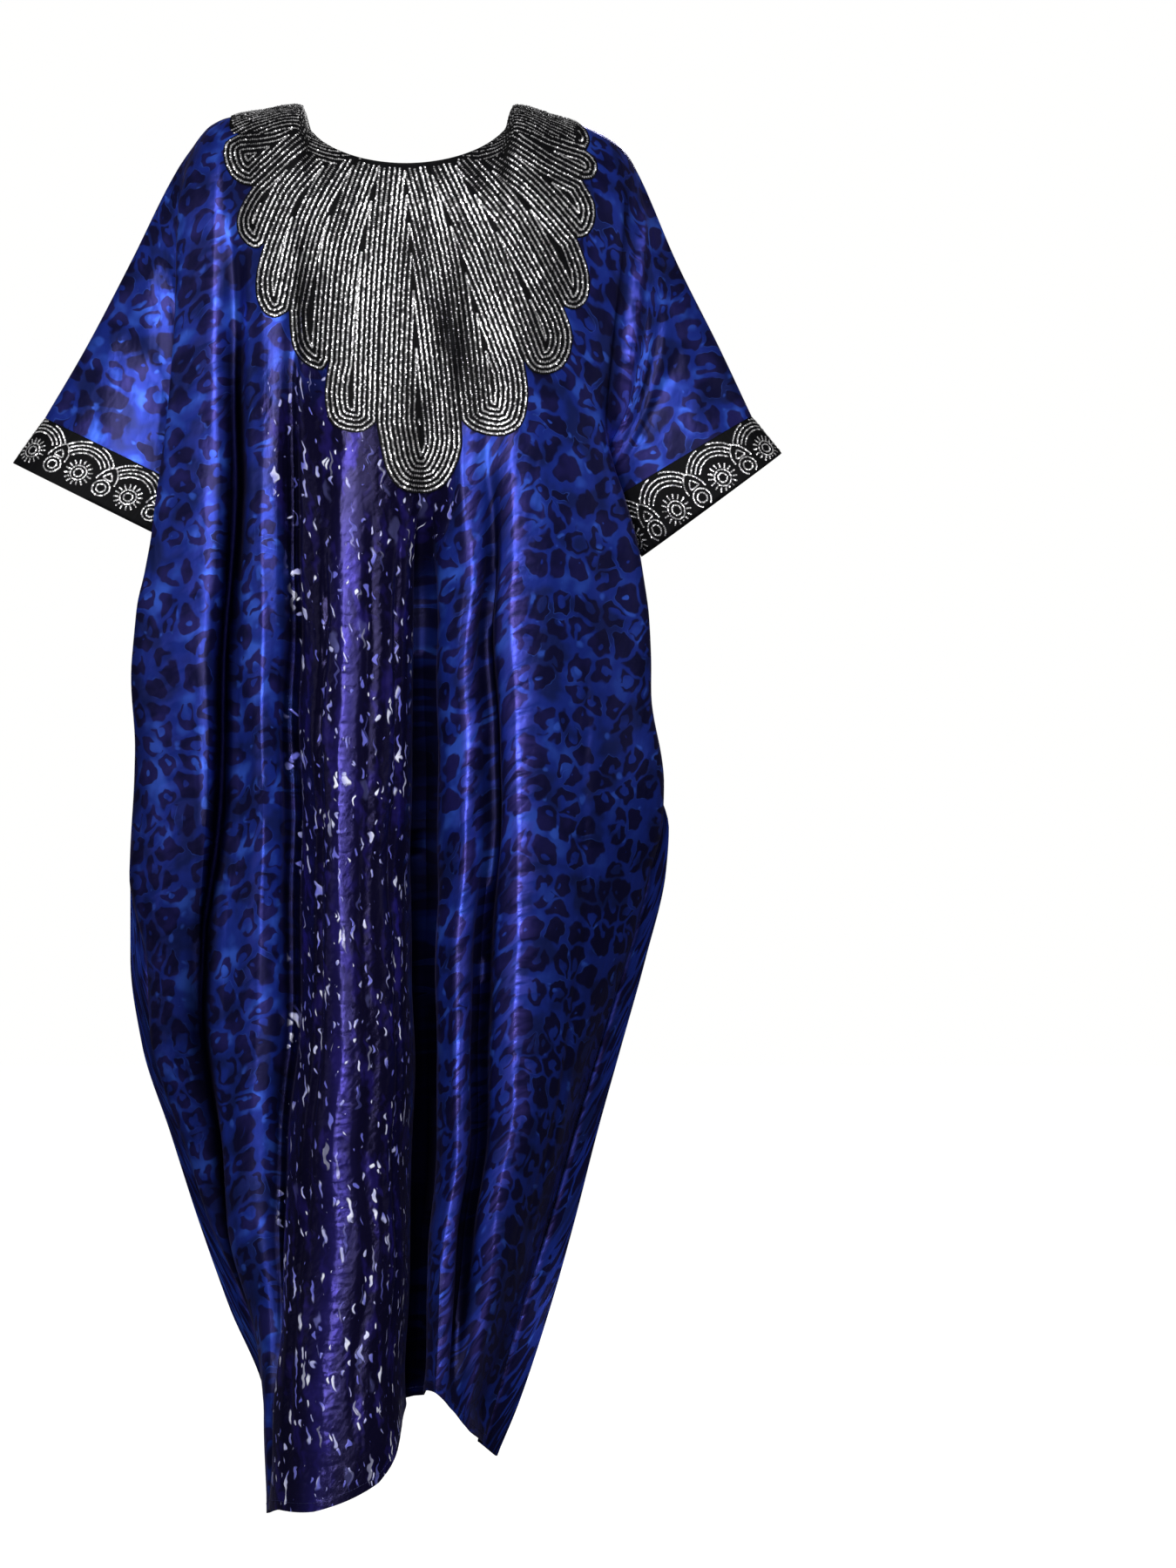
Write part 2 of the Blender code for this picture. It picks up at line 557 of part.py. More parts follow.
def bib(material):
    """The bib: a wall on the front panel's own points, cut to its scalloped outline."""
    points = panel_surface(True)
    normal, _ = panel_normals(points, True)
    flat = SLEEVE_COLUMNS + TUCK_COLUMNS
    rows = len(UPPER_ROWS) + 1
    cloth = points[:rows, flat:-flat]
    out = normal[:rows, flat:-flat]
    inner = cloth + out * SEAM_GAP
    outer = cloth + out * (SEAM_GAP + BIB_WALL)
    slab = add_object("neck_bib", *wall_mesh(outer, inner), material)
    outline = bib_outline()
    top = [(outline[-1][0], BIB_TOP), (outline[0][0], BIB_TOP)]
    ring = [(x * MM, -drop * MM) for x, drop in list(outline) + top]
    vertices = [(x, y, z) for y in BIB_DEPTHS for x, z in ring]
    count = len(ring)
    faces = [tuple(range(count)), tuple(range(2 * count - 1, count - 1, -1))]
    for i in range(count):
        j = (i + 1) % count
        faces.append((j, i, count + i, count + j))
    cutter = add_object("bib_outline_guide", vertices, faces, material)
    cutter.hide_render = True
    cutter.display_type = "WIRE"
    cut = slab.modifiers.new("scallops", "BOOLEAN")
    cut.operation = "INTERSECT"
    cut.solver = "EXACT"
    cut.object = cutter
    return slab


def fabric(name, colour, roughness):
    """Cloth material."""
    material = bpy.data.materials.new(name)
    material.use_nodes = True
    shader = material.node_tree.nodes["Principled BSDF"]
    shader.inputs["Base Color"].default_value = colour
    shader.inputs["Roughness"].default_value = roughness
    shader.inputs["Metallic"].default_value = 0
    return material


def build():
    """The whole robe."""
    for thing in list(bpy.data.objects):
        bpy.data.objects.remove(thing, do_unlink=True)
    panel("front_panel", True, fabric("front satin", SATIN, 0.3))
    panel("back_panel", False, fabric("back satin", SATIN, 0.3))
    cuff_band("cuff_left", CUFF_LEFT, True, fabric("left cuff cloth", BLACK, 0.5))
    cuff_band("cuff_right", CUFF_RIGHT, False, fabric("right cuff cloth", BLACK, 0.5))
    neck_binding(fabric("binding cloth", BLACK, 0.5))
    bib(fabric("bib cloth", BLACK, 0.5))


build()
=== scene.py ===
# Grand boubou robe, worn and hollow: leopard satin, sequinned bib and cuffs.
# Metres, +Z up, the front of the robe faces -Y. Tables are in mm; drop is below the origin.

import functools
import math

import bmesh
import bpy
import numpy as np
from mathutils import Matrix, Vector
from mathutils.bvhtree import BVHTree


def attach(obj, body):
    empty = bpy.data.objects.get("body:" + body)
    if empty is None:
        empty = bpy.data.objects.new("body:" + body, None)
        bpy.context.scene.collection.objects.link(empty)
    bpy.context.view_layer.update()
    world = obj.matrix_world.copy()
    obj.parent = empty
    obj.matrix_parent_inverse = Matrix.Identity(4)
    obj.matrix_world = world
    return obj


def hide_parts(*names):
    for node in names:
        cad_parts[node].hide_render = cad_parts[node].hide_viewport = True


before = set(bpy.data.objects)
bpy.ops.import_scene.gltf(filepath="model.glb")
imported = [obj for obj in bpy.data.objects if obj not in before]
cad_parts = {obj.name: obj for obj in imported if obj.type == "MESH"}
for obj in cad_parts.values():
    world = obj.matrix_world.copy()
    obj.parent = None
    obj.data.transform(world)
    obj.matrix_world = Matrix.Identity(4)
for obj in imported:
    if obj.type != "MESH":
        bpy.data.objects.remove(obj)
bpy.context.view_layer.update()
mm = 0.001


# Camera: level with the middle of the robe, long lens

camera = {"place": (0.186, -8.0, -0.70), "lens": 177.8}

view = bpy.data.cameras.new("robeCamera")
view.lens = camera["lens"]
view.sensor_width = 36
viewObject = bpy.data.objects.new("robeCamera", view)
viewObject.location = camera["place"]
viewObject.rotation_euler = (math.radians(90), 0, 0)
bpy.context.scene.collection.objects.link(viewObject)
bpy.context.scene.camera = viewObject
bpy.context.scene.view_settings.view_transform = "Standard"


# Measures of the robe, the same as those of its solids

robe = {
    "wall": 1.2, "seamGap": 0.3, "neckHalfWidth": 111, "neckFront": (85, 68),
    "neckBack": (75, 60), "shoulderRound": 130, "underarm": 410, "flangeWidth": 28,
    "sleeveHalfDepth": 36, "cuffSpread": 1.03, "cuffTuck": 3, "cuffWall": 1.6,
    "hemLeft": (1450, 1450), "hemRight": (1396, 1380),
}

upperShares = (0, 0.012, 0.04, 0.09, 0.16, 0.25, 0.36, 0.49, 0.63, 0.77, 0.89, 0.96, 1)
lowerRows = 14
ridgeLeft = ((375, 322), (333, 250), (286, 160), (241, 70), (220, 39), (205, 21), (187, 12),
             (135, 3), (111, 0))
ridgeRight = ((355, 320), (322, 250), (277, 160), (238, 70), (225, 48), (204, 30), (185, 21),
              (156, 12), (111, 0))
cuffLeft = {"top": (-375, 322), "under": (-196, 410), "endTop": (-408, 368),
            "endUnder": (-229, 457)}
cuffRight = {"top": (355, 320), "under": (205, 410), "endTop": (386, 358),
             "endUnder": (241, 465)}
tuckLeft = ((60, -238, 0, -238, 0), (115, -230, -28, -238, 28), (187, -212, -34, -236, 42),
            (300, -190, -20, -222, 40), (358, -178, -10, -198, 24), (410, -170, 0, -170, 0))
tuckRight = ((75, 241, 0, 241, 0), (160, 248, -42, 246, 40), (250, 240, -52, 236, 46),
             (322, 222, -40, 212, 38), (366, 198, -22, 190, 22), (410, 172, 0, 172, 0))
sideLeft = ((45, -221, -60, -221, 60), (115, -235, -60, -228, 62), (187, -237, -60, -228, 64),
            (300, -243, -66, -226, 66), (358, -250, -64, -236, 58), (410, -256, -60, -246, 52),
            (480, -266, -55, -254, 47), (520, -275, -50, -260, 42), (610, -283, -40, -268, 38),
            (700, -286, -30, -272, 34), (790, -290, -22, -270, 28), (880, -270, -12, -264, 20),
            (970, -261, -12, -256, 20), (1060, -233, -12, -228, 20), (1150, -200, -12, -195, 20),
            (1240, -166, -12, -160, 20), (1340, -141, -13, -136, 20), (1450, -138, -13, -134, 20))
sideRight = ((45, 220, -70, 220, 60), (160, 213, -75, 222, 64), (250, 204, -76, 214, 66),
             (322, 200, -72, 212, 60), (366, 210, -66, 216, 56), (410, 225, -60, 222, 50),
             (466, 240, -54, 228, 46), (520, 247, -48, 234, 42), (610, 251, -38, 240, 38),
             (700, 266, -28, 250, 32), (745, 264, -20, 254, 28), (790, 251, -14, 248, 24),
             (880, 226, -12, 222, 20), (970, 199, -12, 195, 20), (1060, 172, -12, 168, 20),
             (1150, 147, -12, 143, 20), (1240, 118, -12, 114, 20), (1340, 88, -12, 85, 20),
             (1395, 73, -12, 71, 20))
seamLeft = ((410, -170, -196), (480, -176, -202), (520, -185, -210), (610, -218, -245),
            (700, -250, -277), (790, -263, -287), (880, -266, -287), (970, -258, -275),
            (1060, -230, -246), (1150, -197, -217), (1240, -163, -185), (1340, -138, -147),
            (1450, -135, -141))
seamRight = ((410, 172, 205), (480, 172, 200), (520, 180, 209), (610, 204, 231),
             (700, 231, 256), (745, 247, 269), (790, 245, 266), (880, 223, 245),
             (970, 197, 220), (1060, 170, 195), (1150, 145, 172), (1240, 116, 147),
             (1340, 86, 114), (1395, 70, 91))

# Lengthwise folds from left to right: name, x at the shoulder (None along the neck), x and y
# at each level of drop, and the drop of the hem there.
levels = (300, 480, 700, 900, 1150, 1340)
frontFolds = (
    ("side ridge", -203, (-205, -205, -207, -218, -188, -143),
     (-84, -92, -90, -72, -38, -32), 1450),
    ("side valley", -178, (-178, -176, -175, -184, -176, -143),
     (-90, -92, -86, -80, -62, -52), 1448),
    ("middle ridge", -147, (-147, -147, -147, -150, -160, -142),
     (-108, -112, -114, -106, -82, -72), 1444),
    ("tube valley", -111, (-117, -115, -116, -116, -131, -139),
     (-112, -108, -98, -98, -92, -92), 1441),
    ("tube left", None, (-92, -92, -92, -92, -110, -126),
     (-122, -122, -124, -126, -126, -126), 1438),
    ("tube ridge", None, (-62, -66, -66, -66, -72, -90),
     (-132, -138, -144, -148, -153, -160), 1437),
    ("tube right", None, (-20, -22, -22, -22, -18, -29),
     (-130, -130, -130, -133, -138, -150), 1408),
    ("tube wall", None, (2, 2, 0, 0, 0, -5), (-127, -116, -102, -98, -98, -108), 1358),
    ("deep valley", None, (22, 18, 18, 18, 14, 9), (-122, -98, -72, -62, -58, -55), 1328),
    ("right ridge", None, (58, 58, 55, 50, 41, 32), (-127, -126, -122, -122, -122, -118), 1320),
    ("right valley", None, (84, 83, 83, 76, 66, 48),
     (-122, -116, -108, -106, -104, -100), 1338),
    ("bright ridge", 111, (110, 110, 110, 112, 96, 64),
     (-124, -128, -130, -128, -118, -78), 1362),
    ("flat inner", 147, (150, 163, 160, 158, 120, 71), (-108, -110, -108, -98, -88, -50), 1370),
    ("flat outer", 184, (182, 204, 210, 194, 138, 75), (-90, -84, -84, -60, -52, -26), 1376),
)
backFolds = (
    ("side ridge", -203, (-205, -215, -235, -232, -180, -135), (84, 92, 92, 75, 62, 55), 1448),
    ("side valley", -178, (-178, -182, -192, -192, -160, -126),
     (92, 102, 114, 108, 96, 88), 1446),
    ("left ridge", -147, (-147, -147, -152, -152, -130, -106),
     (98, 112, 130, 130, 124, 118), 1440),
    ("left valley", -111, (-115, -113, -114, -114, -102, -86),
     (104, 106, 116, 114, 108, 100), 1425),
    ("back left", None, (-86, -84, -84, -84, -78, -67), (107, 114, 126, 126, 120, 113), 1400),
    ("middle left ridge", None, (-58, -56, -54, -54, -54, -47),
     (109, 121, 137, 139, 137, 130), 1372),
    ("middle valley", None, (-26, -24, -22, -24, -29, -29),
     (108, 111, 119, 118, 112, 104), 1342),
    ("middle ridge", None, (2, 2, 2, -2, -10, -14), (109, 117, 128, 128, 124, 118), 1328),
    ("right valley", None, (32, 30, 28, 22, 8, 2), (108, 111, 118, 116, 108, 100), 1322),
    ("middle right ridge", None, (62, 60, 58, 50, 28, 18),
     (108, 118, 131, 130, 124, 114), 1322),
    ("right dip", None, (86, 86, 86, 74, 48, 34), (106, 111, 120, 118, 108, 96), 1330),
    ("right ridge", 111, (112, 114, 116, 104, 70, 48), (103, 112, 124, 120, 104, 88), 1342),
    ("flat inner", 147, (148, 154, 160, 140, 96, 62), (96, 108, 118, 108, 90, 74), 1360),
    ("flat outer", 184, (180, 198, 210, 178, 122, 75), (84, 86, 94, 80, 60, 48), 1372),
)

# How finely the cloth is made: steps for each of the solids' own rows and columns.
cloth = {"upper": 4, "lower": 8, "sleeve": 24, "tuck": 9, "turn": 9, "body": 10}


# Curves

def smoothThrough(knots, values, at):  # never overshoots, level past both ends
    knots = np.asarray(knots, float)
    values = np.asarray(values, float)
    step = np.diff(knots)
    slope = np.diff(values) / step
    tangent = np.zeros(len(values))
    sameWay = slope[:-1] * slope[1:] > 0
    before = slope[:-1][sameWay]
    after = slope[1:][sameWay]
    tangent[1:-1][sameWay] = 2 * before * after / (before + after)
    tangent[0] = slope[0]
    tangent[-1] = slope[-1]
    at = np.clip(np.asarray(at, float), knots[0], knots[-1])
    part = np.clip(np.searchsorted(knots, at, side="right") - 1, 0, len(step) - 1)
    width = step[part]
    t = (at - knots[part]) / width
    return (values[part] * (1 + 2 * t) * (1 - t) ** 2 + values[part + 1] * t * t * (3 - 2 * t)
            + width * tangent[part] * t * (1 - t) ** 2
            - width * tangent[part + 1] * t * t * (1 - t))


def columnOf(table, index, at):
    rows = np.array(table, float)
    return smoothThrough(rows[:, 0], rows[:, index], at)


def bendThrough(points, counts):
    # centripetal curves through points of shape (rows, knots, 3), all rows at once
    padded = np.concatenate((2 * points[:, :1] - points[:, 1:2], points,
                             2 * points[:, -1:] - points[:, -2:-1]), axis=1)
    result = []
    for i, count in enumerate(counts):
        quad = padded[:, i:i + 4]
        gaps = np.sqrt(np.linalg.norm(np.diff(quad, axis=1), axis=2)) + 1e-6
        knot = np.concatenate((np.zeros((len(points), 1)), np.cumsum(gaps, axis=1)), axis=1)
        for share in np.arange(count) / count:
            t = (knot[:, 1] + (knot[:, 2] - knot[:, 1]) * share)[:, None, None]
            level = quad
            for order in range(1, 4):
                late = knot[:, order:, None]
                early = knot[:, :-order, None]
                level = (level[:, :-1] * (late - t) + level[:, 1:] * (t - early)) / (late - early)
            result.append(level[:, 0])
    result.append(points[:, -1])
    return np.stack(result, axis=1)


def unit(vectors):
    return vectors / np.maximum(np.linalg.norm(vectors, axis=-1, keepdims=True), 1e-12)


def distances(points):
    return np.concatenate(([0], np.cumsum(np.linalg.norm(np.diff(points, axis=0), axis=1))))


def alongLine(at, far, points):
    return np.stack([np.interp(at, far, values) for values in points.T], axis=-1)


def upright(places):  # from (x, y, drop) in mm to metres, +Z up
    return np.stack((places[..., 0], places[..., 1], -places[..., 2]), axis=-1) * mm


# The cloth's rows, finer than those of the solids

upperFine = np.interp(np.arange((len(upperShares) - 1) * cloth["upper"] + 1) / cloth["upper"],
                      np.arange(len(upperShares)), upperShares)
lowerFine = np.arange(1, lowerRows * cloth["lower"] + 1) / (lowerRows * cloth["lower"])
underRow = len(upperFine)


def ridgeDrop(x):
    left = np.array(ridgeLeft, float)[::-1]
    right = np.array(ridgeRight, float)[::-1]
    return np.where(np.asarray(x) < 0, smoothThrough(left[:, 0], left[:, 1], np.abs(x)),
                    smoothThrough(right[:, 0], right[:, 1], np.abs(x)))


def rounding(below, openness):
    turn = 1 - (1 - np.clip(below / robe["shoulderRound"], 0, 1)) ** 2
    return turn ** (0.5 + 0.5 * openness)


def guideLines(front):
    folds = frontFolds if front else backFolds
    xAt = 1 if front else 3
    necks = [i for i, fold in enumerate(folds) if fold[1] is None]
    under = robe["underarm"]

    def dropsOf(top, hem):
        return np.concatenate((top + (under - top) * upperFine, under + (hem - under) * lowerFine))

    def sideGuide(table, hem):
        topX = table[0][1]
        top = float(ridgeDrop(topX))
        drops = dropsOf(top, hem)
        x = columnOf(table, xAt, drops)
        x[0] = topX
        y = columnOf(table, xAt + 1, drops) * rounding(drops - top, 0)
        return x, y, drops

    guides = [sideGuide(sideLeft, robe["hemLeft"][1])]
    for i, (_, topX, levelX, levelY, hem) in enumerate(folds):
        share = (i - necks[0] + 1) / (len(necks) + 1)
        topY = 0
        openness = 0
        if topX is None:
            angle = math.pi * share
            reach, fall = robe["neckFront"] if front else robe["neckBack"]
            topX = -robe["neckHalfWidth"] * math.cos(angle)
            topY = (-1 if front else 1) * reach * math.sin(angle)
            top = fall * math.sin(angle)
            openness = math.sin(angle)
        else:
            top = float(ridgeDrop(topX))
        drops = dropsOf(top, hem)
        x = smoothThrough((top, *levels), (topX, *levelX), drops)
        chest = smoothThrough(levels, levelY, drops)
        y = topY + (chest - topY) * rounding(drops - top, openness)
        guides.append((x, y, drops))
    guides.append(sideGuide(sideRight, robe["hemRight"][1]))
    return np.stack([np.stack(guide, axis=1) for guide in guides], axis=1)


def flange(left):
    table = seamLeft if left else seamRight
    hem = robe["hemLeft"] if left else robe["hemRight"]
    drops = robe["underarm"] + (hem[1] - robe["underarm"]) * lowerFine
    lowerEdge = (hem[0] - hem[1]) * lowerFine
    flat = np.zeros(len(lowerFine))
    stitched = np.stack((columnOf(table, 1, drops), flat, drops), axis=1)
    across = columnOf(table, 2, drops + lowerEdge) - stitched[:, 0]
    turnedBack = np.sqrt(np.maximum(robe["flangeWidth"] ** 2 - across ** 2, 0))
    away = np.stack((across, turnedBack, lowerEdge), axis=1)
    share = np.linspace(1, 0, cloth["sleeve"] + 1)[:, None]
    middle = stitched[:, None] + away[:, None] * share
    away[:, 2] = 0
    away = unit(away)
    towardFront = np.stack((np.sign(across) * away[:, 1], -np.abs(away[:, 0]), flat), axis=1)
    return middle, towardFront


def sleevePatch(front, left):
    cuff = cuffLeft if left else cuffRight
    tuck = tuckLeft if left else tuckRight
    side = -1 if front else 1
    index = 1 if front else 3
    w = upperFine[:, None, None]
    c = (np.arange(cloth["sleeve"] + 1) / cloth["sleeve"])[None, :, None]
    topCorner = np.array(cuff["top"], float)
    underCorner = np.array(cuff["under"], float)
    cuffLine = topCorner + (underCorner - topCorner) * w
    tuckX = tuck[0][1]
    tuckTop = float(ridgeDrop(tuckX))
    tuckDrops = tuckTop + (robe["underarm"] - tuckTop) * upperFine
    tuckLine = np.stack((columnOf(tuck, index, tuckDrops), tuckDrops), axis=1)[:, None]
    ridgeX = topCorner[0] + (tuckX - topCorner[0]) * c[0, :, 0]
    ridge = np.stack((ridgeX, ridgeDrop(ridgeX)), axis=1)[None]
    under = (underCorner + (tuckLine[-1, 0] - underCorner) * c[0])[None]
    corners = ((1 - w) * ((1 - c) * ridge[:, :1] + c * ridge[:, -1:])
               + w * ((1 - c) * under[:, :1] + c * under[:, -1:]))
    place = (1 - w) * ridge + w * under + (1 - c) * cuffLine + c * tuckLine - corners
    cuffY = side * robe["sleeveHalfDepth"] * np.sqrt(np.maximum(1 - (2 * upperFine - 1) ** 2, 0))
    tuckY = columnOf(tuck, index + 1, tuckDrops)
    y = (1 - c[..., 0]) * cuffY[:, None] + c[..., 0] * tuckY[:, None]
    return np.stack((place[..., 0], y, place[..., 1]), axis=-1)


def panelSurface(front):
    side = -1 if front else 1
    guides = guideLines(front)
    lift = robe["seamGap"] / 2 + robe["wall"]
    outer = []
    for left in (True, False):
        middle, towardFront = flange(left)
        lower = middle - side * towardFront[:, None] * lift
        outer.append(np.concatenate((sleevePatch(front, left), lower)))
    outer[1] = outer[1][:, ::-1]
    steps = ([cloth["tuck"], cloth["turn"]] + [cloth["body"]] * (guides.shape[1] - 3)
             + [cloth["turn"], cloth["tuck"]])
    knots = np.concatenate((outer[0][:, -1:], guides, outer[1][:, :1]), axis=1)
    middle = bendThrough(knots, steps)
    beyondNeck = np.abs(middle[0, :, 0]) > robe["neckHalfWidth"]
    middle[0, beyondNeck, 1] = 0
    middle[0, beyondNeck, 2] = ridgeDrop(middle[0, beyondNeck, 0])
    surface = np.concatenate((outer[0][:, :-1], middle, outer[1][:, 1:]), axis=1)
    least = np.full(surface.shape[:2], lift)
    least[0] = robe["seamGap"] / 2
    seam = np.zeros(surface.shape[:2], bool)
    seam[underRow:, :cloth["sleeve"] + 1] = True
    seam[underRow:, -cloth["sleeve"] - 1:] = True
    surface[..., 1] = np.where(seam, surface[..., 1],
                               side * np.maximum(side * surface[..., 1], least))
    return upright(surface)


def gridNormals(points, front):
    a = points[1:, :-1] - points[:-1, 1:]
    b = points[1:, 1:] - points[:-1, :-1]
    face = np.cross(a, b) * (1 if front else -1)
    face = unit(face)
    total = np.zeros_like(points)
    for i in (0, 1):
        for j in (0, 1):
            total[i:len(points) - 1 + i, j:points.shape[1] - 1 + j] += face
    return unit(total)


# Shared mesh code

def gridFaces(rows, columns, start, turned):
    at = start + np.arange(rows * columns).reshape(rows, columns)
    quads = np.stack((at[:-1, :-1], at[:-1, 1:], at[1:, 1:], at[1:, :-1]), axis=-1).reshape(-1, 4)
    return quads[:, ::-1] if turned else quads


def rimFaces(rows, columns, turned):
    at = np.arange(rows * columns).reshape(rows, columns)
    rim = np.concatenate((at[0, :-1], at[:-1, -1], at[-1, :0:-1], at[:0:-1, 0]))
    far = rim + rows * columns
    quads = np.stack((np.roll(rim, -1), rim, far, np.roll(far, -1)), axis=1)
    return quads[:, ::-1] if turned else quads


def makeMesh(name, vertices, faces, smooth=True):
    mesh = bpy.data.meshes.new(name)
    mesh.from_pydata(np.asarray(vertices).tolist(), [], np.asarray(faces).tolist()
                     if isinstance(faces, np.ndarray) else faces)
    if smooth:
        mesh.shade_smooth()
    made = bpy.data.objects.new(name, mesh)
    bpy.context.scene.collection.objects.link(made)
    return made


def setNumbers(made, name, values):  # a number kept on every point, read by the material
    values = np.asarray(values, float)
    vector = values.ndim == 2
    layer = made.data.attributes.new(name, "FLOAT_VECTOR" if vector else "FLOAT", "POINT")
    layer.data.foreach_set("vector" if vector else "value", values.ravel())


# Noise for small unevenness, the same in each run

def valueNoise(u, v, seed):
    rng = np.random.default_rng(seed)
    table = rng.random((64, 64))
    i = np.floor(u).astype(int)
    j = np.floor(v).astype(int)
    s = u - i
    t = v - j
    s = s * s * (3 - 2 * s)
    t = t * t * (3 - 2 * t)
    return ((table[i % 64, j % 64] * (1 - s) + table[(i + 1) % 64, j % 64] * s) * (1 - t)
            + (table[i % 64, (j + 1) % 64] * (1 - s) + table[(i + 1) % 64, (j + 1) % 64] * s) * t)


# Shader helpers, which add to the node tree that was begun last

drawing = {}


def fill(node, values):
    for key, value in values.items():
        if isinstance(value, bpy.types.NodeSocket):
            drawing["tree"].links.new(value, node.inputs[key])
        else:
            node.inputs[key].default_value = value
    return node


def put(kind, values=None, **settings):
    node = drawing["tree"].nodes.new("ShaderNode" + kind)
    for name, value in settings.items():
        setattr(node, name, value)
    return fill(node, values or {})


def sums(operation, *values):
    return put("Math", dict(enumerate(values)), operation=operation).outputs[0]


times, timesPlus, minus, most = (
    functools.partial(sums, operation)
    for operation in ("MULTIPLY", "MULTIPLY_ADD", "SUBTRACT", "MAXIMUM"))


def vectors(operation, first, second):
    key = "Scale" if operation == "SCALE" else 1
    return put("VectorMath", {0: first, key: second}, operation=operation).outputs[0]


def stretched(place, x, y):
    return vectors("MULTIPLY", place, (x, y, 1.0))


def turned(place, angle):
    return put("VectorRotate", {"Vector": place, "Angle": angle}, rotation_type="Z_AXIS").outputs[0]


def partsOf(value, kind="SeparateXYZ"):
    return put(kind, {0: value}).outputs


def softStep(value, low, high):
    return put("MapRange", {"Value": value, "From Min": low, "From Max": high},
               interpolation_type="SMOOTHSTEP").outputs[0]


def blend(share, first, second):
    return put("Mix", {0: share, 6: first, 7: second}, data_type="RGBA").outputs[2]


def noise(place, scale, detail, output="Fac", **more):
    values = {"Vector": place, "Scale": scale, "Detail": detail, **more}
    return put("TexNoise", values).outputs[output]


def cellsOf(place, scale, feature="F1", **more):
    values = {"Vector": place, "Scale": scale, **more}
    return put("TexVoronoi", values, voronoi_dimensions="2D", feature=feature).outputs


def kept(name, output="Fac"):
    return put("Attribute", attribute_name=name).outputs[output]


def bumpBy(height, strength, distance):
    return put("Bump", {"Height": height, "Strength": strength, "Distance": distance}).outputs[0]


def newGroup(name, inputs, outputs):  # an input without a value is a place
    tree = bpy.data.node_groups.new(name, "ShaderNodeTree")
    for label, value in inputs.items():
        kind = "NodeSocketVector" if value is None else "NodeSocketFloat"
        socket = tree.interface.new_socket(name=label, in_out="INPUT", socket_type=kind)
        if value is not None:
            socket.default_value = value
    for label in outputs:
        tree.interface.new_socket(name=label, in_out="OUTPUT", socket_type="NodeSocketFloat")
    drawing["tree"] = tree
    return tree.nodes.new("NodeGroupInput").outputs, tree.nodes.new("NodeGroupOutput")


def newMaterial(name):
    material = bpy.data.materials.new(name)
    material.use_nodes = True
    drawing["tree"] = material.node_tree
    return material, material.node_tree.nodes["Principled BSDF"]


def warped(place, scale, amount):
    drift = vectors("SUBTRACT", noise(place, scale, 0.4, "Color"), (0.5, 0.5, 0.5))
    return vectors("ADD", place, vectors("SCALE", drift, amount))


def leopardGroup():
    # horseshoes and rings: round cells, some with a heart, some open on one side
    given, out = newGroup("leopardPrint", {"Place": None, "Spot Scale": 25.0, "Warp": 0.02,
                                           "Cover": 0.4}, ("Spot", "Rim", "Cloud", "Glow"))
    place = given["Place"]
    scale = given["Spot Scale"]
    moved = warped(warped(place, 24.0, given["Warp"]), 80.0, 0.010)
    cells = cellsOf(moved, scale, Randomness=0.92)
    edges = cellsOf(moved, scale, "DISTANCE_TO_EDGE", Randomness=0.92)
    chance = partsOf(cells["Color"], "SeparateColor")
    wobble = minus(noise(place, 110.0, 0.5), 0.5)
    gap = timesPlus(given["Cover"], -0.060, 0.108)
    border = timesPlus(wobble, 0.14, minus(edges["Distance"], gap))
    size = timesPlus(chance[1], 0.20, 0.43)
    reach = timesPlus(wobble, 0.40, minus(size, cells["Distance"]))
    inside = sums("SMOOTH_MIN", border, reach, 0.16)
    body = softStep(inside, -0.040, 0.045)
    offset = vectors("SCALE", vectors("SUBTRACT", moved, cells["Position"]), scale)
    offset = turned(offset, times(chance[2], 6.28))
    parts = partsOf(offset)
    fromHeart = put("VectorMath", {0: vectors("SUBTRACT", offset, (0.09, 0, 0))},
                    operation="LENGTH").outputs["Value"]
    heart = minus(timesPlus(chance[0], 0.26, 0.04), fromHeart)
    heart = softStep(timesPlus(wobble, 0.20, heart), -0.02, 0.03)
    slot = minus(1.0, softStep(sums("ABSOLUTE", parts[1]), 0.05, 0.10))
    slot = times(slot, softStep(parts[0], 0.08, 0.14))
    slot = times(slot, softStep(chance[0], 0.45, 0.49))
    spot = times(body, minus(1.0, most(slot, heart)))
    rim = minus(1.0, softStep(sums("ABSOLUTE", inside), 0.0, 0.022))
    rim = times(rim, softStep(noise(place, 31.0, 0.0), 0.54, 0.66))
    dots = cellsOf(moved, times(scale, 1.25))
    dotSize = timesPlus(partsOf(dots["Color"], "SeparateColor")[0], 0.50, -0.20)
    glow = softStep(minus(dotSize, dots["Distance"]), 0.0, 0.16)
    return fill(out, {"Spot": spot, "Rim": rim, "Cloud": noise(place, 22.0, 2.5),
                      "Glow": times(glow, minus(1.0, spot))}).id_data


def weaveGroup():
    given, out = newGroup("clothWeave", {"Place": None, "Threads": 6000.0, "Ripple Scale": 60.0},
                          ("Weave", "Ripple", "Crinkle", "Pucker", "Slub"))
    place = given["Place"]
    across, along = (sums("SINE", times(partsOf(place)[i], given["Threads"])) for i in (0, 1))
    fine = stretched(turned(place, 0.6), 1.0, 0.34)
    cross = stretched(turned(place, -0.35), 0.42, 1.0)
    return fill(out, {
        "Weave": times(across, along),
        "Ripple": noise(stretched(place, 1.0, 0.28), given["Ripple Scale"], 2.0, Roughness=0.45),
        "Crinkle": noise(fine, 150.0, 1.5, Roughness=0.5),
        "Pucker": noise(cross, 95.0, 1.5, Roughness=0.5, Distortion=0.4),
        "Slub": noise(stretched(place, 400.0, 30.0), 1.0, 2.0)}).id_data


leopardPrint = leopardGroup()
clothWeave = weaveGroup()


# Satin

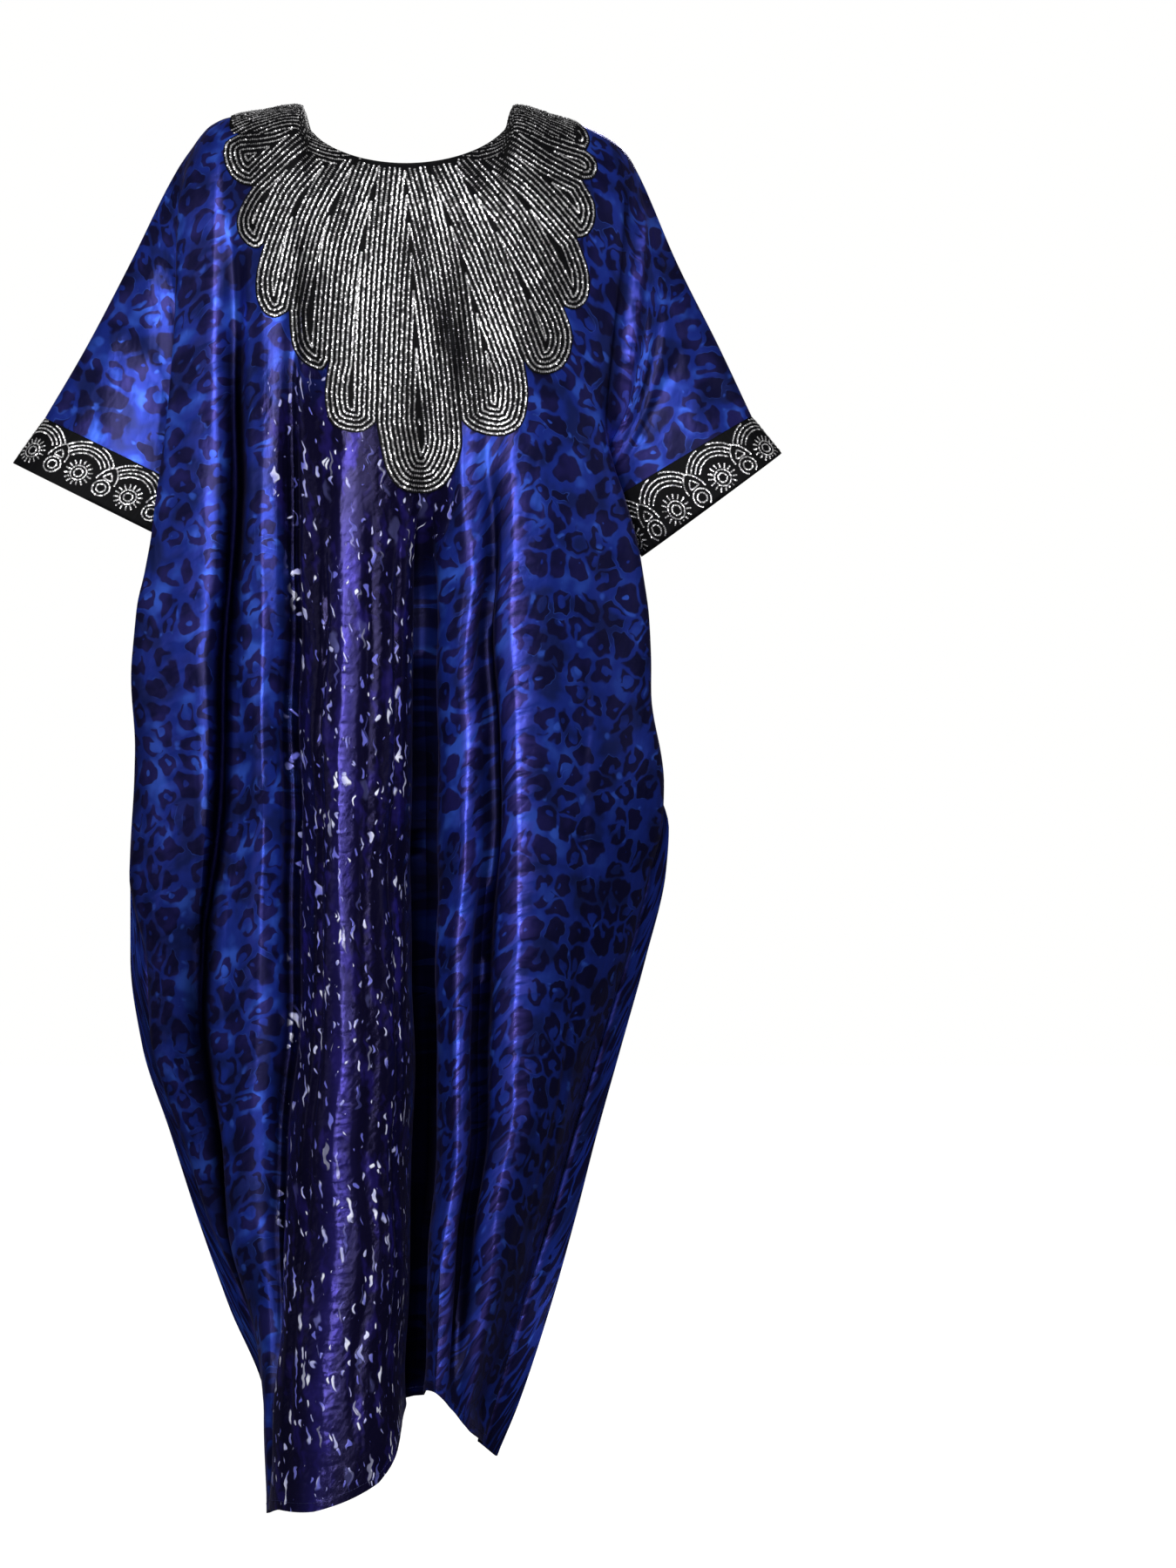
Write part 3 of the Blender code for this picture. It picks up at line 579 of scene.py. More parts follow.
# Colours of the satin: the print's colours, then a painted shade, painted highlights for the crests
# and the glossy crest, and the colours of the painted glints
satin = {
    "royal": (0.013, 0.034, 0.31, 1), "pale": (0.050, 0.15, 0.82, 1),
    "dim": (0.009, 0.019, 0.13, 1), "night": (0.0055, 0.0060, 0.042, 1),
    "spotPlum": (0.018, 0.017, 0.130, 1), "shadow": (0.0012, 0.0012, 0.008, 1),
    "paintedHighlight": (0.11, 0.13, 0.86, 1), "paintedHighlightSpot": (0.075, 0.060, 0.36, 1),
    "ink": (0.0065, 0.0052, 0.030, 1), "inkPale": (0.026, 0.018, 0.200, 1),
    "plumHighlight": (0.030, 0.024, 0.215, 1), "glintFilm": (0.24, 0.25, 0.72, 1),
    "glintFleck": (0.86, 0.88, 1.0, 1), "glintFleckDim": (0.14, 0.15, 0.60, 1),
    "spotScale": 35.0, "warp": 0.022, "roughness": 0.36, "metallic": 0.5,
}
# Painted glints, flecks of painted reflection: how far each kind is stretched down the cloth, how
# many there are, then the spread of their size, the least size and how soft the edge is
flecks = {
    "glintFilm": (0.40, 30.0, 0.46, -0.230, 0.08), "drop": (0.32, 66.0, 0.32, -0.118, 0.080),
    "spark": (0.40, 118.0, 0.38, -0.122, 0.090), "glint": (0.11, 92.0, 0.22, -0.045, 0.040),
}


def fleckGroup():
    given, out = newGroup("paintedGlintFlecks", {"Place": None, "Glints": 0.0}, ("Film", "Drop", "Pool"))
    loose = warped(given["Place"], 95.0, 0.012)
    masks = {}
    for name, (stretch, scale, spread, least, soft) in flecks.items():
        cells = cellsOf(stretched(loose, 1.0, stretch), scale)
        size = timesPlus(partsOf(cells["Color"], "SeparateColor")[0], spread, least)
        masks[name] = softStep(minus(size, cells["Distance"]), 0.0, soft)
    drop = most(most(masks["drop"], masks["spark"]), times(masks["glint"], given["Glints"]))
    pool = noise(stretched(loose, 1.0, 0.3), 60.0, 2.0)
    return fill(out, {"Film": masks["glintFilm"], "Drop": drop, "Pool": pool}).id_data


paintedGlintFlecks = fleckGroup()


def satinMaterial(name, shift):
    material, shader = newMaterial(name)
    place = vectors("ADD", kept("flatPlace", "Vector"), shift)
    gloss, cover, paintedHighlight, paintedShade, glints = (
        kept(label) for label in ("gloss", "cover", "paintedHighlight", "paintedShade", "glints"))
    leopard = put("Group", {"Place": place, "Cover": cover, "Spot Scale": satin["spotScale"],
                            "Warp": satin["warp"]}, node_tree=leopardPrint).outputs
    weave = put("Group", {"Place": place}, node_tree=clothWeave).outputs
    glintFlecks = put("Group", {"Place": place, "Glints": glints}, node_tree=paintedGlintFlecks).outputs

    # the print: cloudy ground, spots, hearts, pale dots and thin pale outlines. The pale cloud and
    # the plum in the spots fade out where cover is high, to the right and lower down: painted
    # shade.
    lit = minus(1.0, softStep(cover, 0.30, 0.95))
    cloud = leopard["Cloud"]
    ground = blend(softStep(cloud, 0.38, 0.52), satin["dim"], satin["royal"])
    pale = times(softStep(cloud, 0.52, 0.68), lit)
    ground = blend(times(pale, 0.80), ground, satin["pale"])
    ground = blend(times(leopard["Glow"], 0.6), ground, satin["pale"])
    spotColour = blend(times(softStep(cloud, 0.44, 0.62), lit), satin["night"], satin["spotPlum"])
    printed = blend(leopard["Spot"], ground, spotColour)
    printed = blend(times(leopard["Rim"], 0.35), printed, satin["pale"])
    # painted highlight along the fold crests, pale blue on the ground and violet on the spots,
    # broken up by the pucker noise
    paintedHighlightColour = blend(leopard["Spot"], satin["paintedHighlight"], satin["paintedHighlightSpot"])
    brokenHighlight = times(paintedHighlight, softStep(weave["Pucker"], 0.38, 0.60))
    printed = blend(timesPlus(brokenHighlight, 0.65, times(paintedHighlight, 0.2)), printed, paintedHighlightColour)

    # the glossy stretch: dark ink, a plum painted highlight on the crest, and painted glints:
    # flecks of painted reflection
    pool = softStep(glintFlecks["Pool"], 0.50, 0.68)
    wet = blend(times(pool, 0.7), satin["ink"], satin["inkPale"])
    printed = blend(gloss, printed, blend(paintedHighlight, wet, satin["plumHighlight"]))
    glintFilm = times(glintFlecks["Film"], softStep(gloss, 0.5, 0.9))
    glintFilm = times(glintFilm, timesPlus(paintedHighlight, 0.9, 0.2))
    drop = times(glintFlecks["Drop"], softStep(gloss, 0.3, 0.7))
    # painted glint film, then painted shade in the hollows and along the seams, then the painted
    # glint drops
    colour = blend(paintedShade, blend(glintFilm, printed, satin["glintFilm"]), satin["shadow"])
    bright = softStep(glintFlecks["Pool"], 0.42, 0.66)
    colour = blend(drop, colour, blend(bright, satin["glintFleckDim"], satin["glintFleck"]))
    paintedGlint = most(drop, glintFilm)

    rough = timesPlus(weave["Slub"], 0.12, satin["roughness"] - 0.06)
    height = timesPlus(weave["Weave"], 0.012, times(weave["Ripple"], timesPlus(gloss, 0.2, 0.7)))
    height = timesPlus(weave["Crinkle"], timesPlus(gloss, 0.25, 0.20), height)
    height = timesPlus(weave["Pucker"], timesPlus(paintedHighlight, 1.3, 0.12), height)
    height = timesPlus(paintedGlint, 0.15, height)
    # the metallic rises in the painted shade, which keeps it dark, and falls under the painted
    # glints
    fill(shader, {
        "Base Color": colour, "Roughness": minus(rough, times(gloss, 0.15)),
        "Metallic": times(minus(1.0, paintedGlint), most(paintedShade, satin["metallic"])),
        "Sheen Weight": 0.04, "Sheen Roughness": 0.4, "Sheen Tint": (0.45, 0.4, 1.0, 1),
        "Specular Tint": (0.55, 0.50, 1.0, 1), "Normal": bumpBy(height, 0.4, 0.004)})
    return material


# Panels of cloth

folds = {
    # glossy stretch, from one fold line to another, first high up and then further down
    "frontGloss": ((3, 10), (4, 8.4)), "backGloss": ((5, 8), (5, 8)),
    "ripple": 1.1, "sleeveRipple": 1.8, "sway": 5.0,  # mm
    # how often each kind of unevenness comes, across and down, in a metre
    "small": (70, 16), "large": (28, 9), "broken": (90, 45),
    "frontSeeds": (19, 5, 7), "backSeeds": (23, 9, 11),
}

# Sharp creases pressed into the cloth. The side folds are at 0.1 and 14.9. Fold line at a drop
# of 400 and from 850 down, half width in fold lines, depth in mm, and the drops where the
# crease begins, is deepest from, to, and ends.
frontCreases = (
    (2.0, 1.15, 0.50, 12, 120, 260, 1050, 1350), (4.0, 4.0, 0.38, 13, 230, 420, 1250, 1440),
    (5.35, 5.2, 0.16, 4, 430, 560, 1300, 1420), (6.75, 6.6, 0.16, 3, 420, 520, 1250, 1400),
    (8.95, 8.95, 0.42, 26, 410, 520, 1270, 1345), (11.15, 11.0, 0.34, 13, 380, 520, 1200, 1340),
    (7.6, 7.5, 0.15, 4, 420, 560, 1200, 1340), (13.3, 13.5, 0.2, 3, 520, 700, 900, 1200),
    (9.55, 9.6, 0.55, 9, 170, 230, 280, 350), (9.95, 9.9, 0.24, 3, 420, 560, 1000, 1250),
    (10.45, 10.3, 0.30, -3, 400, 520, 1100, 1330), (4.1, 4.1, 0.5, 8, 150, 200, 240, 300),
    (16.4, 16.4, 0.20, 2, 150, 230, 330, 400), (17.0, 17.0, 0.22, 2, 190, 260, 340, 410),
    (-1.3, -1.3, 0.22, 4, 110, 200, 320, 400), (-2.0, -2.0, 0.22, 3, 170, 250, 340, 410),
)
backCreases = (
    (2.0, 1.6, 0.30, 9, 160, 320, 1100, 1400), (4.0, 4.1, 0.30, 10, 260, 420, 1200, 1400),
    (7.0, 6.9, 0.28, 9, 240, 420, 1150, 1330), (9.1, 9.2, 0.30, 9, 280, 460, 1180, 1320),
    (11.0, 10.9, 0.26, 8, 320, 480, 1150, 1320), (5.5, 5.4, 0.14, 3, 300, 560, 1000, 1300),
    (12.5, 12.7, 0.18, 4, 400, 560, 860, 1080), (16.6, 16.6, 0.22, 5, 150, 230, 330, 400),
    (-1.5, -1.5, 0.22, 5, 130, 220, 330, 400),
)

# Painted highlights along the crests, then painted shade in the hollows: the same columns,
# with a strength in place of the depth: 1 is full, and what goes over it is cut off.
frontPaintedHighlights = (
    (0.85, 0.50, 0.45, 0.18, 60, 160, 850, 1250), (3.0, 2.9, 0.42, 0.20, 240, 380, 900, 1250),
    (6.15, 6.0, 0.42, 0.58, 380, 520, 1300, 1500), (10.45, 10.3, 0.42, 0.72, 300, 440, 1240, 1400),
    (12.0, 12.0, 0.42, 0.85, 320, 460, 1260, 1420),
    (-0.75, -0.75, 0.20, 0.25, 90, 170, 330, 400),
)
frontPaintedShades = (
    (2.0, 1.15, 0.58, 1.15, 180, 340, 1150, 1420), (4.0, 4.0, 0.36, 0.88, 260, 420, 1300, 1460),
    (8.75, 8.85, 0.72, 1.02, 400, 560, 1300, 1420), (11.2, 11.05, 0.48, 0.92, 360, 520, 1200, 1380),
    (15.15, 15.15, 0.13, 0.90, 60, 120, 380, 420), (-0.35, -0.35, 0.18, 0.85, 80, 140, 380, 420),
    (5.1, 5.05, 0.25, 0.45, 380, 520, 1300, 1440), (0.2, 0.1, 0.35, 0.35, 500, 700, 1000, 1300),
    (13.6, 13.5, 1.00, 0.30, 420, 700, 1350, 1500),
)
backPaintedHighlights = (
    (3.0, 3.1, 0.34, 0.35, 240, 380, 1000, 1300), (6.0, 6.1, 0.42, 0.70, 300, 420, 1250, 1450),
    (8.0, 8.1, 0.26, 0.45, 300, 440, 1150, 1330), (10.0, 10.1, 0.26, 0.55, 300, 440, 1200, 1340),
    (12.0, 12.1, 0.24, 0.45, 260, 400, 1150, 1340),
)
backPaintedShades = (
    (2.0, 1.7, 0.40, 0.75, 200, 340, 1150, 1420), (4.0, 4.1, 0.36, 0.75, 260, 420, 1250, 1420),
    (9.1, 9.2, 0.45, 0.80, 300, 480, 1200, 1340), (11.0, 10.9, 0.34, 0.60, 320, 480, 1150, 1340),
    (7.0, 6.9, 0.30, 0.50, 260, 440, 1150, 1340), (15.35, 15.35, 0.20, 0.80, 60, 120, 380, 420),
    (-0.35, -0.35, 0.18, 0.80, 80, 140, 380, 420),
)


# Straight pressed streaks of painted highlight, which also clear the painted shade: the upper and
# lower end as (x, drop), the half widths there, how strong the painted highlight (how pale) and how
# far raised.
highlightStreaks = (
    ((245, 95), (217, 380), 3.5, 8, 1.25, 5.0), ((-196, 40), (-197, 370), 5, 9, 0.50, 1.5),
)


def alongFolds(table, position, drop, flatY, sway):
    total = np.zeros(drop.shape)
    for line, lowLine, width, depth, begin, full, hold, end in table:
        strength = (np.clip((drop - begin) / (full - begin), 0, 1)
                    * np.clip((end - drop) / (end - hold), 0, 1))
        wander = valueNoise(flatY * 9 + 300, np.full_like(flatY, line * 7.3 + 40), 13) - 0.5
        centre = np.interp(drop, (400, 850), (line, lowLine))
        across = (position[None, :] + wander * sway - centre) / width
        shape = np.exp(-across ** 2 * 2.2) * np.sin(strength * math.pi / 2)
        total = np.where(np.abs(depth * shape) > np.abs(total), depth * shape, total)
    return total


def uneven(flatX, flatY, often, seed):
    return valueNoise(flatX * often[0] + 300, flatY * often[1] + 300, seed)


def highlightStreaksOver(points, drop, broken, paintedHighlight, paintedShade, pressed):
    for (topX, topDrop), (lowX, lowDrop), topWide, lowWide, strength, rise in highlightStreaks:
        share = np.clip((drop - topDrop) / (lowDrop - topDrop), 0, 1)
        across = points[..., 0] / mm - topX - (lowX - topX) * share
        shape = (np.exp(-(across / (topWide + (lowWide - topWide) * share)) ** 2)
                 * np.clip((drop - topDrop) / 50, 0, 1) * np.clip((lowDrop - drop) / 40, 0, 1))
        paintedHighlight = np.maximum(paintedHighlight, strength * (0.7 + 0.5 * broken) * shape)
        paintedShade = paintedShade * (1 - np.clip(2 * strength * shape, 0, 1))
        pressed = pressed + rise * shape
    return paintedHighlight, paintedShade, pressed


def glossAndCover(front, position, drop, flatX):
    (wideLow, wideHigh), (low, high) = folds["frontGloss" if front else "backGloss"]
    low = np.interp(drop, (300, 520), (wideLow, low))
    high = np.interp(drop, (420, 560), (wideHigh, high))
    gloss = (np.clip((position - low + 0.3) / 0.5, 0, 1)
             * np.clip((high + 0.1 - position) / 0.5, 0, 1) * np.clip((drop - 230) / 90, 0, 1))
    # glints: where the painted glints gather, near both edges of the glossy stretch
    edges = (np.exp(-((position - low - 1.1) / 0.5) ** 2)
             + np.exp(-((position - high + 0.8) / 0.6) ** 2))
    # cover: how much of the ground the spots take, more to the right and lower down; the satin also
    # fades its pale cloud and plum spots by it, a painted shade
    cover = np.clip(0.25 + flatX * 1.6, 0.15, 0.85)
    cover = np.clip(cover + 0.30 * np.clip((drop - 750) / 400, 0, 1), 0.15, 0.90)
    cover += (0.30 - cover) * np.clip((np.abs(position - 7.5) - 7.4) / 1.2, 0, 1) * (drop < 430)
    return gloss, cover, np.clip(edges + 0.25, 0, 1)


def clothPanel(name, front, material, node):
    points = panelSurface(front)
    rows, columns = points.shape[:2]
    side = -1 if front else 1
    edge = cloth["sleeve"]
    step = np.arange(columns)
    fromSide = np.minimum(step, columns - 1 - step)
    body = np.clip((fromSide - edge) / 8, 0, 1)[None, :] * np.ones((rows, 1))
    sleeveColumn = np.clip(fromSide / 7, 0, 1)[None, :]
    level = np.arange(rows)
    sleeveRow = np.clip(np.minimum(level / 10, (underRow - 1 - level) / 14), 0, 1)
    away = np.maximum(body, sleeveColumn * sleeveRow[:, None])
    away[:4] = 0
    position = (step - edge - cloth["tuck"] - cloth["turn"]) / cloth["body"] + 1
    drop = -points[..., 2] / mm
    down = np.cumsum(np.linalg.norm(np.diff(points, axis=0, prepend=points[:1]), axis=2), axis=0)
    over = np.cumsum(np.linalg.norm(np.diff(points, axis=1, prepend=points[:, :1]), axis=2), axis=1)
    flatX = over - over[:, columns // 2][:, None]
    flatY = -down + points[0, :, 2][None, :]
    far = np.clip((edge - fromSide) / 8, 0, 1)
    for inner, outer in ((edge, slice(0, edge)), (-edge - 1, slice(columns - edge, columns))):
        for flat, axis in ((flatX, 0), (flatY, 2)):  # on a sleeve, the flat place follows x and z
            shift = flat[:underRow, inner] - points[:underRow, inner, axis]
            shift = shift[:, None] * (1 - far[outer]) + shift.mean() * far[outer]
            flat[:underRow, outer] = points[:underRow, outer, axis] + shift
    swaySeed, smallSeed, largeSeed = folds["frontSeeds" if front else "backSeeds"]
    wander = uneven(flatY, flatX, (10, 9), swaySeed) - 0.5
    points[..., 0] += wander * folds["sway"] * 2 * mm * body * np.clip((drop - 380) / 120, 0, 1)
    normal = gridNormals(points, front)
    small = uneven(flatX, flatY, folds["small"], smallSeed) - 0.5
    large = uneven(flatX, flatY, folds["large"], largeSeed) - 0.5
    pressed = -alongFolds(frontCreases if front else backCreases, position, drop, flatY, 0.2)
    # the crests get a painted highlight and the hollows a painted shade, along the fold lines
    paintedHighlight = alongFolds(frontPaintedHighlights if front else backPaintedHighlights, position, drop, flatY, 0.25)
    paintedShade = alongFolds(frontPaintedShades if front else backPaintedShades, position, drop, flatY, 0.2)
    paintedShade = np.clip(paintedShade, 0, 1)
    broken = uneven(flatX, flatY, folds["broken"], 17)
    paintedHighlight *= 0.50 + 0.75 * broken
    if front:
        paintedHighlight, paintedShade, pressed = highlightStreaksOver(points, drop, broken, paintedHighlight, paintedShade, pressed)
    lower = (level >= underRow)[:, None]  # along the seam: a line of painted shade, with a painted highlight outside it
    paintedShade = np.maximum(paintedShade, np.exp(-((fromSide - edge - 0.4) / 2.2) ** 2)[None, :] * lower)
    paintedHighlight = np.maximum(paintedHighlight, 0.9 * np.exp(-((fromSide - edge + 4.4) / 1.8) ** 2)[None, :] * lower)
    onSleeve = (fromSide < edge + 6)[None, :] & ~lower
    ripple = np.where(onSleeve, folds["sleeveRipple"], folds["ripple"])
    points = points + normal * (((small + large) * ripple + pressed) * mm * away)[..., None]
    normal = gridNormals(points, front)
    inner = points - normal * robe["wall"] * mm
    for left in (True, False):
        centre, towardFront = flange(left)
        face = upright(centre) - side * towardFront[:, None] * robe["seamGap"] / 2 * mm
        if left:
            inner[underRow:, :edge + 1] = face
        else:
            inner[underRow:, -edge - 1:] = face[:, ::-1]
    vertices = np.concatenate((points.reshape(-1, 3), inner.reshape(-1, 3)))
    faces = np.concatenate((gridFaces(rows, columns, 0, front),
                            gridFaces(rows, columns, rows * columns, not front),
                            rimFaces(rows, columns, front)))
    made = makeMesh(name, vertices, faces)
    made.data.set_sharp_from_angle(angle=math.radians(60))
    flat = np.stack((flatX, flatY, np.zeros_like(flatX)), axis=-1).reshape(-1, 3)
    setNumbers(made, "flatPlace", np.concatenate((flat, flat)))
    gloss, cover, glints = glossAndCover(front, position, drop, flatX)
    for label, values in (("gloss", gloss), ("paintedHighlight", paintedHighlight), ("paintedShade", paintedShade),
                          ("cover", cover), ("glints", glints)):
        setNumbers(made, label, np.concatenate((values.ravel(), values.ravel())))
    made.data.materials.append(material)
    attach(made, "root")
    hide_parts(node)
    return made, points, normal


frontSatin = satinMaterial("frontSatin", (3.1, 5.7, 0.0))
backSatin = satinMaterial("backSatin", (9.4, 2.2, 0.0))
frontCloth, frontPoints, frontNormal = clothPanel("frontPanelCloth", True, frontSatin,
                                                  "front_panel")
backCloth, backPoints, backNormal = clothPanel("backPanelCloth", False, backSatin, "back_panel")


def clothArea(made):
    return sum(face.area for face in made.data.polygons) / 2


# Flat cuts in metres, before the robe is put on: width, length and, where it isn't a rectangle,
# the area.
cuts = {
    "front": ((1.22, 1.51), 1.16), "back": ((1.20, 1.50), 0.99), "bib": ((0.40, 0.42), 0.120),
    "binding": ((0.010, 0.668), None), "cuffLeft": ((0.450, 0.057), None),
    "cuffRight": ((0.405, 0.066), 0.0237),
}

for made in (frontCloth, backCloth):
    print("panel", made.name, len(made.data.polygons) * 2, "triangles", round(clothArea(made), 3))

# Small pieces sewn on in great number: one mesh each, made from arrays

def sewOn(name, places, normals, alongs, look, material, seed, paintedLight=1.0):
    # dished round sequins that lie on the cloth, each a little tilted along its row
    rng = np.random.default_rng(seed)
    count = len(places)
    alongs = unit(alongs - (alongs * normals).sum(1)[:, None] * normals)
    across = np.cross(normals, alongs)
    lean = math.radians(look["lean"]) + rng.normal(0, math.radians(look["scatter"]), count)
    roll = rng.normal(0, math.radians(look["scatter"]), count)
    up = unit(normals + alongs * np.tan(lean)[:, None] + across * np.tan(roll)[:, None])
    first = unit(alongs - (alongs * up).sum(1)[:, None] * up)
    second = np.cross(up, first)
    # a sequin is a little larger where its tone, the painted light, is brighter
    size = look["size"] / 2 * mm * rng.uniform(0.88, 1.08, count) * (0.80 + 0.30 * paintedLight)
    centre = (places + normals * look["lift"] * mm
              + across * rng.normal(0, look["stray"] * mm, count)[:, None])
    sides = look["sides"]
    turn = 2 * math.pi * np.arange(sides) / sides
    rim = (centre[:, None] + (first[:, None] * np.cos(turn)[None, :, None]
                              + second[:, None] * np.sin(turn)[None, :, None])
           * size[:, None, None])
    cup = centre - up * (look["dish"] * size)[:, None]
    vertices = np.concatenate((rim, cup[:, None]), axis=1).reshape(-1, 3)
    start = (np.arange(count) * (sides + 1))[:, None]
    near = np.arange(sides)[None, :]
    faces = np.stack((start + near, start + (near + 1) % sides,
                      np.broadcast_to(start + sides, (count, sides))), axis=-1).reshape(-1, 3)
    made = makeMesh(name, vertices, faces, smooth=False)
    shade = rng.uniform(0, 1, count)
    setNumbers(made, "shade", np.repeat(shade, sides + 1))
    # tone: painted glare and painted shade for each sequin
    setNumbers(made, "paintedLight", np.repeat(np.broadcast_to(paintedLight, (count,)), sides + 1))
    made.data.materials.append(material)
    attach(made, "root")
    print("sewn on", name, count)
    return made


def walk(points, step):  # places at equal steps along a line of points, with directions
    points = np.asarray(points, float)
    total = distances(points)
    if total[-1] < step:
        return np.zeros((0, 2)), np.zeros((0, 2))
    at = np.arange(step / 2, total[-1], step)
    ahead = alongLine(at + 0.5, total, points) - alongLine(at - 0.5, total, points)
    return alongLine(at, total, points), unit(ahead)


def stitchLine(name, points, normals, look, material):
    # running stitches: short bowed bars along a line of points on the cloth
    far = distances(points)
    at = np.arange(look["pitch"], far[-1] / mm - look["pitch"], look["pitch"]) * mm
    place = alongLine(at, far, points)
    ahead = unit(alongLine(at + mm, far, points) - alongLine(at - mm, far, points))
    out = unit(alongLine(at, far, normals))
    out = unit(out - (out * ahead).sum(1)[:, None] * ahead)
    across = np.cross(ahead, out)
    half = look["long"] / 2 * mm
    wide = look["wide"] / 2 * mm
    rings = []
    for share, rise in ((-1, 0.1), (-0.5, 0.8), (0.5, 0.8), (1, 0.1)):
        middle = place + ahead * half * share + out * look["high"] * rise * mm
        for turn in range(4):
            angle = math.pi / 4 + turn * math.pi / 2
            rings.append(middle + (across * math.cos(angle) + out * math.sin(angle)) * wide)
    vertices = np.stack(rings, axis=1).reshape(-1, 3)
    bar = [(r * 4 + k, r * 4 + (k + 1) % 4, r * 4 + 4 + (k + 1) % 4, r * 4 + 4 + k)
           for r in range(3) for k in range(4)] + [(3, 2, 1, 0), (12, 13, 14, 15)]
    faces = (np.arange(len(at)) * 16)[:, None, None] + np.array(bar)[None]
    made = makeMesh(name, vertices, faces.reshape(-1, 4))
    made.data.materials.append(material)
    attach(made, "root")
    print("stitched", name, len(at))
    return made


def threadMaterial(name, colour):
    material, shader = newMaterial(name)
    where = put("TexCoord").outputs["Object"]
    twist = put("TexWave", {"Vector": where, "Scale": 900.0, "Distortion": 0.6},
                bands_direction="DIAGONAL").outputs["Fac"]
    dark = (*(0.4 * part for part in colour[:3]), 1)
    fill(shader, {"Base Color": blend(twist, dark, colour), "Roughness": 0.5,
                  "Normal": bumpBy(twist, 0.3, 0.0003)})
    return material


stitches = {"pitch": 3.4, "long": 2.6, "wide": 0.5, "high": 0.25,
            "thread": (0.012, 0.016, 0.10, 1)}
navyThread = threadMaterial("navyThread", stitches["thread"])
for made, name, slot, points, normal in (
        (frontCloth, "front", "satin_front", frontPoints, frontNormal),
        (backCloth, "back", "satin_back", backPoints, backNormal)):
    edge = cloth["sleeve"]
    for label, places, ways in (
            ("SeamLeft", points[underRow:, edge], normal[underRow:, edge]),
            ("SeamRight", points[underRow:, -edge - 1], normal[underRow:, -edge - 1]),
            ("Hem", points[-2, edge:-edge], normal[-2, edge:-edge])):
        line = stitchLine(name + label + "Stitches", places, ways, stitches, navyThread)


# Black cloth and silver sequins

trim = {"black": (0.0012, 0.0012, 0.0018, 1), "worn": (0.0045, 0.0045, 0.0065, 1),
        "roughness": 0.62, "bindingRoughness": 0.4, "rippleScale": 24.0}
silver = {"bright": (1.0, 0.99, 1.0, 1), "dull": (0.42, 0.41, 0.43, 1),
          "dark": (0.03, 0.03, 0.04, 1), "roughness": 0.24, "metallic": 0.72}


def blackCloth(name, roughness):
    material, shader = newMaterial(name)
    place = kept("flatPlace", "Vector")
    weave = put("Group", {"Place": place, "Ripple Scale": trim["rippleScale"]},
                node_tree=clothWeave).outputs
    share = times(softStep(weave["Slub"], 0.45, 0.75), 0.8)
    height = timesPlus(weave["Weave"], 0.06, times(weave["Ripple"], 0.5))
    fill(shader, {"Base Color": blend(share, trim["black"], trim["worn"]),
                  "Roughness": timesPlus(weave["Slub"], 0.18, roughness - 0.09),
                  "Sheen Weight": 0.01, "Specular IOR Level": 0.10,
                  "Normal": bumpBy(height, 0.45, 0.002)})
    return material


def sequinMaterial(name):
    material, shader = newMaterial(name)
    shade = kept("shade")
    shiny = blend(softStep(shade, 0.60, 1.0), silver["bright"], silver["dull"])
    # the tone is painted light: sequins go dark in painted shade and stay bright in painted glare
    fill(shader, {"Base Color": blend(kept("paintedLight"), silver["dark"], shiny),
                  "Roughness": timesPlus(shade, 0.18, silver["roughness"] - 0.06),
                  "Metallic": silver["metallic"]})
    return material


sequins = sequinMaterial("silverSequins")


# Bib: scallops from the left shoulder to the right, points of the edge as (x, drop). Each
# starts at its corner with the one before. Seams run from those corners up to the neck edge.

bibScallops = (
    ((-182, 12), (-183, 22), (-179, 30)),
    ((-172, 33), (-186, 42), (-187, 60), (-180, 77), (-168, 87)),
    ((-156, 90), (-167, 107), (-173, 125), (-170, 140), (-159, 152), (-150, 154)),
    ((-144, 149), (-152, 178), (-152, 204), (-143, 221), (-132, 225)),
    ((-119, 218), (-116, 251), (-108, 267), (-96, 276), (-84, 279)),
    ((-77, 269), (-81, 293), (-81, 315), (-74, 334), (-58, 342), (-42, 342)),
    ((-29, 333), (-25, 356), (-19, 381), (-6, 399), (15, 404), (36, 399), (50, 381), (58, 356)),
    ((57, 330), (66, 339), (82, 345), (101, 346), (117, 337), (124, 318), (125, 293)),
    ((121, 270), (129, 280), (142, 283), (158, 277), (168, 261), (170, 239)),
    ((161, 213), (172, 216), (183, 209), (188, 194), (186, 172)),
    ((175, 143), (185, 140), (193, 125), (193, 106)),
    ((180, 82), (191, 80), (196, 68), (193, 58)),
    ((184, 50), (188, 40), (185, 28), (176, 18)),
)
bibSeams = (  # middle of the seam, then where it meets the neck edge, 0 left to 1 right
    ((-150, 8), 0.0), ((-135, 30), 0.07), ((-131, 66), 0.16), ((-122, 97), 0.24),
    ((-97, 125), 0.31), ((-66, 152), 0.385), ((-24, 194), 0.461), ((37, 170), 0.53),
    ((76, 155), 0.60), ((110, 122), 0.675), ((130, 93), 0.745), ((142, 63), 0.84),
    ((146, 38), 0.92), ((146, 12), 1.0),
)
